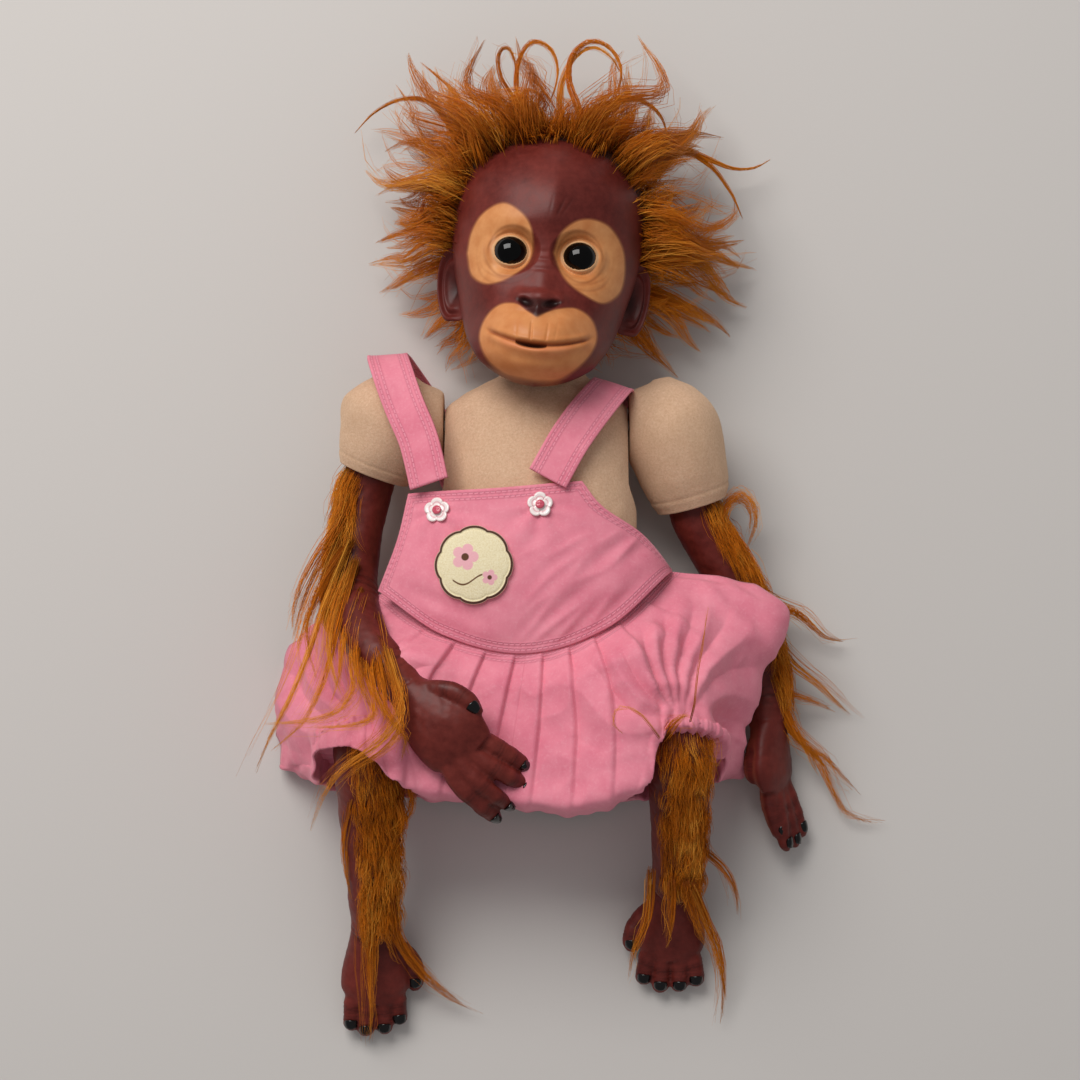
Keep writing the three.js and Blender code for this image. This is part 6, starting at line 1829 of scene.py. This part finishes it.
def build_weave(r, given):
    """Plain weave: threads that pass over and under each other, as a height of 0 to 1."""
    x, y, z = (r.add("ShaderNodeSeparateXYZ", given["Place"], out=k) for k in range(3))
    side = r.plus(x, r.times(z, 0.6))
    a = r.math("SINE", r.times(side, given["Threads"]))
    b = r.math("SINE", r.times(y, given["Threads"]))
    return {"Height": r.plus(r.times(r.times(a, b), 0.5), 0.5)}


# Paint on the vinyl, in this order: the field that says where, how much of it, its colour. The darkened
# forehead and ears, the nose's underside, the ring above the eyes, the parted lips, the nostrils and the ear
# hollows are painted shade; the pale band on the lower lip is partly its paint and partly a painted highlight
PAINT = [
    ("dim", 0.22, (52, 16, 16)), ("nose", 0.80, (40, 12, 12)), ("socket", 0.45, (112, 62, 26)),
    ("rim", 0.75, (216, 176, 132)), ("lip", 0.72, (118, 44, 24)), ("lower", 0.55, (222, 134, 92)),
    ("slit", 0.95, (58, 8, 8)), ("hole", 0.8, (18, 6, 6)), ("palm", 0.55, (168, 92, 66)),
]
# The patch's sprig in millimetres from its middle: across, up, petals' reach, dark middle's radius
FLOWERS = [(-4.5, 4.0, 7.2, 2.1), (8.5, -7.0, 4.2, 1.3)]


def make_finishes():
    """All materials by name. Each mixes colours by noise and by the piece's fields, and adds relief."""
    mottle = make_group(
        "mottle", [("Place", "vector", (0, 0, 0)), ("Broad", "value", 40), ("Fine", "value", 300)],
        [("Value", "value")], build_mottle
    )
    stitch = make_group(
        "stitch rows", [("Edge", "value", 99), ("Along", "value", 0), ("Row", "value", 3)],
        [("Stitch", "value"), ("Groove", "value")], build_stitch
    )
    weave = make_group(
        "plain weave", [("Place", "vector", (0, 0, 0)), ("Threads", "value", 12000)], [("Height", "value")],
        build_weave
    )

    def vinyl(r):
        """Two red-browns by blotches, two tans in the patches with a dark edge, painted shade in the creases,
        then each mark's paint, with painted shade and a highlight among it.
        """
        place = r.place()
        blotch = use_group(r, mottle, Place=place, Broad=34.0, Fine=260.0)["Value"]
        base = r.mix(r.ramp(blotch, (0.35, 0), (0.66, 1)), srgb(88, 28, 23), srgb(120, 45, 37))
        grain = r.noise(place, 900.0, 3.0)
        cloud = r.ramp(r.noise(place, 90.0, 4.0), (0.35, 0), (0.68, 1))
        tan = r.mix(cloud, srgb(200, 126, 72), srgb(220, 152, 96))
        tan = r.paint(tan, r.field("muzzle"), 0.35, (196, 116, 62))
        edge = r.field("patch")
        soft = r.times(r.times(edge, r.minus(1.0, edge)), 4.0)
        colour = r.mix(edge, base, tan)
        colour = r.paint(colour, soft, 0.35, (112, 48, 28))
        # Painted shade in the creases: dark brown on the skin, deeper tan in the patches.
        colour = r.mix(
            r.times(r.field("crease"), 0.55), colour, r.mix(edge, srgb(48, 16, 14), srgb(132, 66, 30))
        )
        for mark, share, tint in PAINT:
            colour = r.paint(colour, r.field(mark), share, tint)
        rough = r.ramp(blotch, (0.3, 0.40), (0.7, 0.50))
        height = r.plus(r.times(grain, 0.4), r.times(r.noise(place, 320.0, 3.0), 0.6))
        return {"Base_Color": colour, "Roughness": rough, "Normal": r.bump(height, 0.16, 0.0006)}

    def plush(r):
        """Two beiges by tufts, darker in the lie of the nap and between the pile, and painted shade in the
        hem's groove.
        """
        place = r.place()
        pile = r.noise(place, 2200.0, 2.0, 0.7)
        tuft = r.noise(place, 800.0, 3.0, 0.7)
        lay = use_group(r, mottle, Place=place, Broad=28.0, Fine=150.0)["Value"]
        colour = r.mix(r.ramp(tuft, (0.3, 0), (0.72, 1)), srgb(202, 162, 132), srgb(226, 190, 160))
        colour = r.paint(colour, r.ramp(lay, (0.36, 1), (0.6, 0)), 0.30, (190, 152, 118))
        colour = r.paint(colour, r.ramp(pile, (0.3, 1), (0.45, 0)), 0.25, (168, 130, 98))
        height = r.plus(r.times(pile, 0.45), r.times(tuft, 0.55))
        hem = use_group(r, stitch, Edge=r.field("hem"), Along=r.field("along"), Row=68.0)
        # Painted shade along the hem's stitched groove.
        colour = r.paint(colour, hem["Groove"], 0.14, (134, 100, 70))
        return {"Base_Color": colour, "Normal": r.bump(height, 0.6, 0.0008)}

    def cotton(r):
        """Two pinks by soft blotches, paler slubs and threads, and two rows of stitches beside each seam, with
        painted shade in their grooves.
        """
        place = r.place()
        soft = use_group(r, mottle, Place=place, Broad=22.0, Fine=120.0)["Value"]
        threads = use_group(r, weave, Place=place, Threads=11000.0)["Height"]
        colour = r.mix(r.ramp(soft, (0.36, 0), (0.64, 1)), srgb(222, 116, 138), srgb(238, 142, 160))
        slub = r.noise(place, 700.0, 2.0)
        colour = r.mix(r.ramp(slub, (0.52, 0), (0.75, 0.25)), colour, srgb(246, 176, 188))
        colour = r.paint(colour, threads, 0.10, (250, 190, 200))
        edge, along = r.field("edge"), r.field("along")
        one = use_group(r, stitch, Edge=edge, Along=along, Row=2.0)
        two = use_group(r, stitch, Edge=edge, Along=r.plus(along, 1.1), Row=5.0)
        thread = r.math("MAXIMUM", one["Stitch"], two["Stitch"])
        groove = r.math("MAXIMUM", one["Groove"], two["Groove"])
        # Painted shade in the grooves of the stitch rows.
        colour = r.paint(colour, groove, 0.40, (176, 74, 98))
        colour = r.paint(colour, thread, 0.75, (244, 158, 176))
        height = r.minus(r.plus(r.times(threads, 0.12), r.times(soft, 0.5)), r.times(groove, 0.9))
        height = r.plus(height, r.times(thread, 1.1))
        return {"Base_Color": colour, "Normal": r.bump(height, 0.5, 0.0006)}

    def hair(r):
        """Darker at the root as painted shade inside the hair, orange to gold at the tip, each strand lighter
        or darker by its tone.
        """
        root, tone = r.field("root"), r.field("tone")
        # Painted shade: each strand darkens towards its root.
        colour = r.mix(r.ramp(root, (0.0, 0), (0.32, 1)), srgb(134, 66, 8), srgb(216, 116, 12))
        colour = r.mix(r.ramp(root, (0.4, 0), (1.0, 0.8)), colour, srgb(240, 150, 42))
        colour = r.mix(r.ramp(tone, (0.5, 0), (1.0, 0.8)), colour, srgb(248, 174, 66))
        colour = r.mix(r.ramp(tone, (0.0, 0.75), (0.45, 0)), colour, srgb(128, 58, 6))
        return {"Base_Color": colour}

    def cap(r):
        """Fine grain of short hair roots, dark as painted shade."""
        fine = r.noise(r.place(), 900.0, 2.0, 0.8)
        colour = r.mix(r.ramp(fine, (0.35, 0), (0.65, 1)), srgb(40, 16, 8), srgb(96, 44, 14))
        return {"Base_Color": colour, "Normal": r.bump(fine, 1.0, 0.002)}

    def gloss(dark, light, rough):
        """Two near colours by clouds, with the shine a little uneven in the same clouds."""
        def build(r):
            """The nodes of one such finish."""
            cloud = r.noise(r.place(), 260.0, 3.0)
            uneven = r.ramp(cloud, (0.3, rough * 0.8), (0.7, rough * 1.25))
            return {"Base_Color": r.mix(cloud, dark, light), "Roughness": uneven}
        return build

    def pearl(r):
        """Cloudy white with a pink ring inside the petals' rim and a pink edge, by the share of radius."""
        cloud = r.noise(r.place(), 500.0, 3.0)
        colour = r.mix(cloud, srgb(244, 226, 224), srgb(252, 242, 238))
        mark = r.field("mark")
        rim = r.ramp(r.math("ABSOLUTE", r.minus(mark, 0.62)), (0.03, 0.55), (0.09, 0.0))
        colour = r.mix(rim, colour, srgb(214, 120, 136))
        edge = r.ramp(mark, (0.94, 0.0), (1.0, 0.5))
        return {
            "Base_Color": r.mix(edge, colour, srgb(206, 110, 128)), "Normal": r.bump(cloud, 0.05, 0.0005)
        }

    def felt(r):
        """Cream fibres, a sprig of two flowers and a waving stem by distances, and a brown corded rim."""
        place = r.place()
        fibre = r.noise(place, 1300.0, 3.0, 0.7)
        colour = r.mix(r.ramp(fibre, (0.3, 0), (0.7, 1)), srgb(226, 208, 164), srgb(246, 234, 200))
        x, y = r.field("px"), r.field("py")
        for across, up, reach, _ in FLOWERS:
            colour = r.mix(petals_mask(r, x, y, across, up, reach, 5), colour, srgb(238, 176, 184))
        for across, up, _, radius in FLOWERS:
            colour = r.mix(disc_mask(r, x, y, across, up, radius), colour, srgb(96, 58, 34))
        curve = r.math("MULTIPLY_ADD", r.math("SINE", r.times(x, 0.28)), 2.6, -8.0)
        stem = r.math("ABSOLUTE", r.minus(y, curve))
        length = r.ramp(r.math("ABSOLUTE", r.plus(x, 3.2)), (7.6, 1.0), (8.2, 0.0))
        colour = r.mix(r.times(r.ramp(stem, (0.35, 1.0), (0.6, 0.0)), length), colour, srgb(110, 74, 44))
        rim = r.field("rim")
        cord = r.mix(fibre, srgb(58, 30, 20), srgb(96, 56, 36))
        colour = r.mix(r.ramp(rim, (0.35, 0.0), (0.6, 1.0)), colour, cord)
        return {"Base_Color": colour, "Normal": r.bump(fibre, 0.5, 0.0005)}

    return {
        "vinyl": material("vinyl", vinyl, IOR=1.45, Specular_IOR_Level=0.34),
        "plush": material(
            "plush", plush, Roughness=1.0, Sheen_Weight=0.5, Sheen_Roughness=0.5,
            Sheen_Tint=srgb(226, 200, 170), Specular_IOR_Level=0.1
        ),
        "cotton": material(
            "cotton", cotton, Roughness=0.72, Sheen_Weight=0.22, Sheen_Roughness=0.4,
            Sheen_Tint=srgb(255, 214, 220), Specular_IOR_Level=0.3
        ),
        "hair": material("mohair", hair, Roughness=0.5, Specular_IOR_Level=0.16),
        # The scalp cap's dark finish is painted shade under the hair.
        "cap": material("hair roots", cap, Roughness=0.9),
        "nail": material(
            "nail lacquer", gloss(srgb(6, 5, 6), srgb(16, 12, 12), 0.2), Coat_Weight=0.6,
            Coat_Roughness=0.08
        ),
        "eye": material("eye", gloss(srgb(1, 1, 1), srgb(4, 3, 3), 0.03), IOR=1.5, Specular_IOR_Level=0.36),
        "pearl": material("button", pearl, Roughness=0.3, Coat_Weight=0.4, Coat_Roughness=0.1),
        "stud": material("button stud", gloss(srgb(190, 66, 88), srgb(214, 92, 112), 0.3), Coat_Weight=0.3),
        "felt": material("patch", felt, Roughness=0.9, Sheen_Weight=0.2),
        "nylon": material("nylon", gloss(srgb(16, 14, 14), srgb(34, 30, 30), 0.45)),
        "acetal": material("acetal", gloss(srgb(226, 222, 212), srgb(240, 238, 230), 0.4)),
    }


def disc_mask(r, x, y, cx, cy, radius):
    """1 inside a circle, with a soft edge, from the distance to its middle."""
    place = r.add("ShaderNodeCombineXYZ", r.minus(x, cx), r.minus(y, cy), 0.0)
    away = r.add("ShaderNodeVectorMath", place, operation="LENGTH", out=1)
    return r.ramp(away, (radius - 0.3, 1.0), (radius + 0.1, 0.0))


def petals_mask(r, x, y, cx, cy, radius, count):
    """A flower with rounded petals: its outline swings in and out with the angle round its middle."""
    u, v = r.minus(x, cx), r.minus(y, cy)
    away = r.math("SQRT", r.plus(r.times(u, u), r.times(v, v)))
    swing = r.math("ABSOLUTE", r.math("COSINE", r.times(r.math("ARCTAN2", v, u), count / 2)))
    limit = r.times(r.math("MULTIPLY_ADD", r.math("POWER", swing, 0.6), 0.38, 0.62), radius)
    return r.ramp(r.minus(limit, away), (-0.2, 0.0), (0.25, 1.0))


# The doll

def at(*point):
    """A point of the doll's own millimetres, in metres of the frame."""
    return tuple((np.array(point, float) + SHIFT) / 1000)


def settle(obj, body, slot, *nodes):
    """A finished piece: it rides on a body and stands for CAD nodes; its slot is not used."""
    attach(obj, body)
    if nodes:
        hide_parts(*nodes)


def main():
    """Finishes, camera and stage, then each piece with the body it rides on and the nodes it stands for."""
    finish = make_finishes()
    make_camera()
    make_stage()
    for node in frame["nodes"]:
        name = node["name"] if isinstance(node, dict) else node
        kind = "nylon" if name.endswith(("_tie", "_lock")) else "acetal"
        obj = next(o for o in bpy.data.objects if o.get("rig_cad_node") == name)
        obj.data.materials.clear()
        obj.data.materials.append(finish[kind])

    settle(make_head(finish["vinyl"]), "head", "vinyl", "head_shell")
    for side, word in ((-1, "right"), (1, "left")):
        settle(make_ear(side, finish["vinyl"]), "head", "vinyl")
        settle(make_eye(side, finish["eye"]), "head", "eye", f"{word}_eye")
    hairs = make_scalp_hair(finish["hair"], finish["cap"])
    for i, obj in enumerate(hairs):
        settle(obj, "head", "hair", *(["scalp_hair"] if i == 0 else []))

    torso = make_torso(finish["plush"])
    settle(torso, "torso", "plush", "torso_body")
    for word in SIDES:
        sleeve = make_sleeve(word, finish["plush"])
        settle(sleeve, f"{word}_upper_arm", "plush", f"{word}_sleeve")
        thigh = make_thigh(word, finish["plush"])
        settle(thigh, f"{word}_upper_leg", "plush", f"{word}_thigh")
        skin, nails = make_arm(word, finish["vinyl"], finish["nail"])
        settle(skin, f"{word}_forearm", "vinyl", f"{word}_arm")
        settle(nails, f"{word}_forearm", "vinyl")
        skin, nails = make_leg(word, finish["vinyl"], finish["nail"])
        settle(skin, f"{word}_lower_leg", "vinyl", f"{word}_leg")
        settle(nails, f"{word}_lower_leg", "vinyl")
        line, widths = limb_line(ARMS[word]["sleeve"], ARMS[word]["arm"]), shifted(ARM_WIDTH, IN_CLOTH)
        fur = make_fur(f"{word}_arm", line, widths, [0, 0, 1], finish["hair"], 200 + len(word))
        settle(fur[0], f"{word}_forearm", "hair", f"{word}_arm_fur")
        settle(fur[1], f"{word}_forearm", "hair")
        line, widths = limb_line(LEGS[word]["thigh"], LEGS[word]["leg"]), shifted(LEG_WIDTH, IN_CLOTH)
        fur = make_fur(f"{word}_leg", line, widths, [1, 0, 0], finish["hair"], 300 + len(word))
        settle(fur[0], f"{word}_lower_leg", "hair", f"{word}_leg_fur")
        settle(fur[1], f"{word}_lower_leg", "hair")

    bib = make_bib(finish["cotton"])
    settle(bib, "torso", "cotton", "romper_bib")
    back = make_back(finish["cotton"])
    settle(back, "torso", "cotton", "romper_back")
    halves = make_bloomers(finish["cotton"])
    for word, half in zip(("right", "left"), halves):
        elastic = make_elastic(word, finish["cotton"])
        for obj in (half, elastic):
            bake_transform(obj)
        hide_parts(f"{word}_leg_elastic")
        strap = make_strap(word, finish["cotton"])
        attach(strap, "torso")
        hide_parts(f"{word}_strap")
        plate, stud = make_button(word, finish["pearl"], finish["stud"])
        settle(plate, "torso", "button", f"{word}_button")
        settle(stud, "torso", "button_centre", f"{word}_button_centre")
    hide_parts("romper_bloomers")
    settle(make_patch(finish["felt"]), "torso", "felt", "bib_patch")


main()
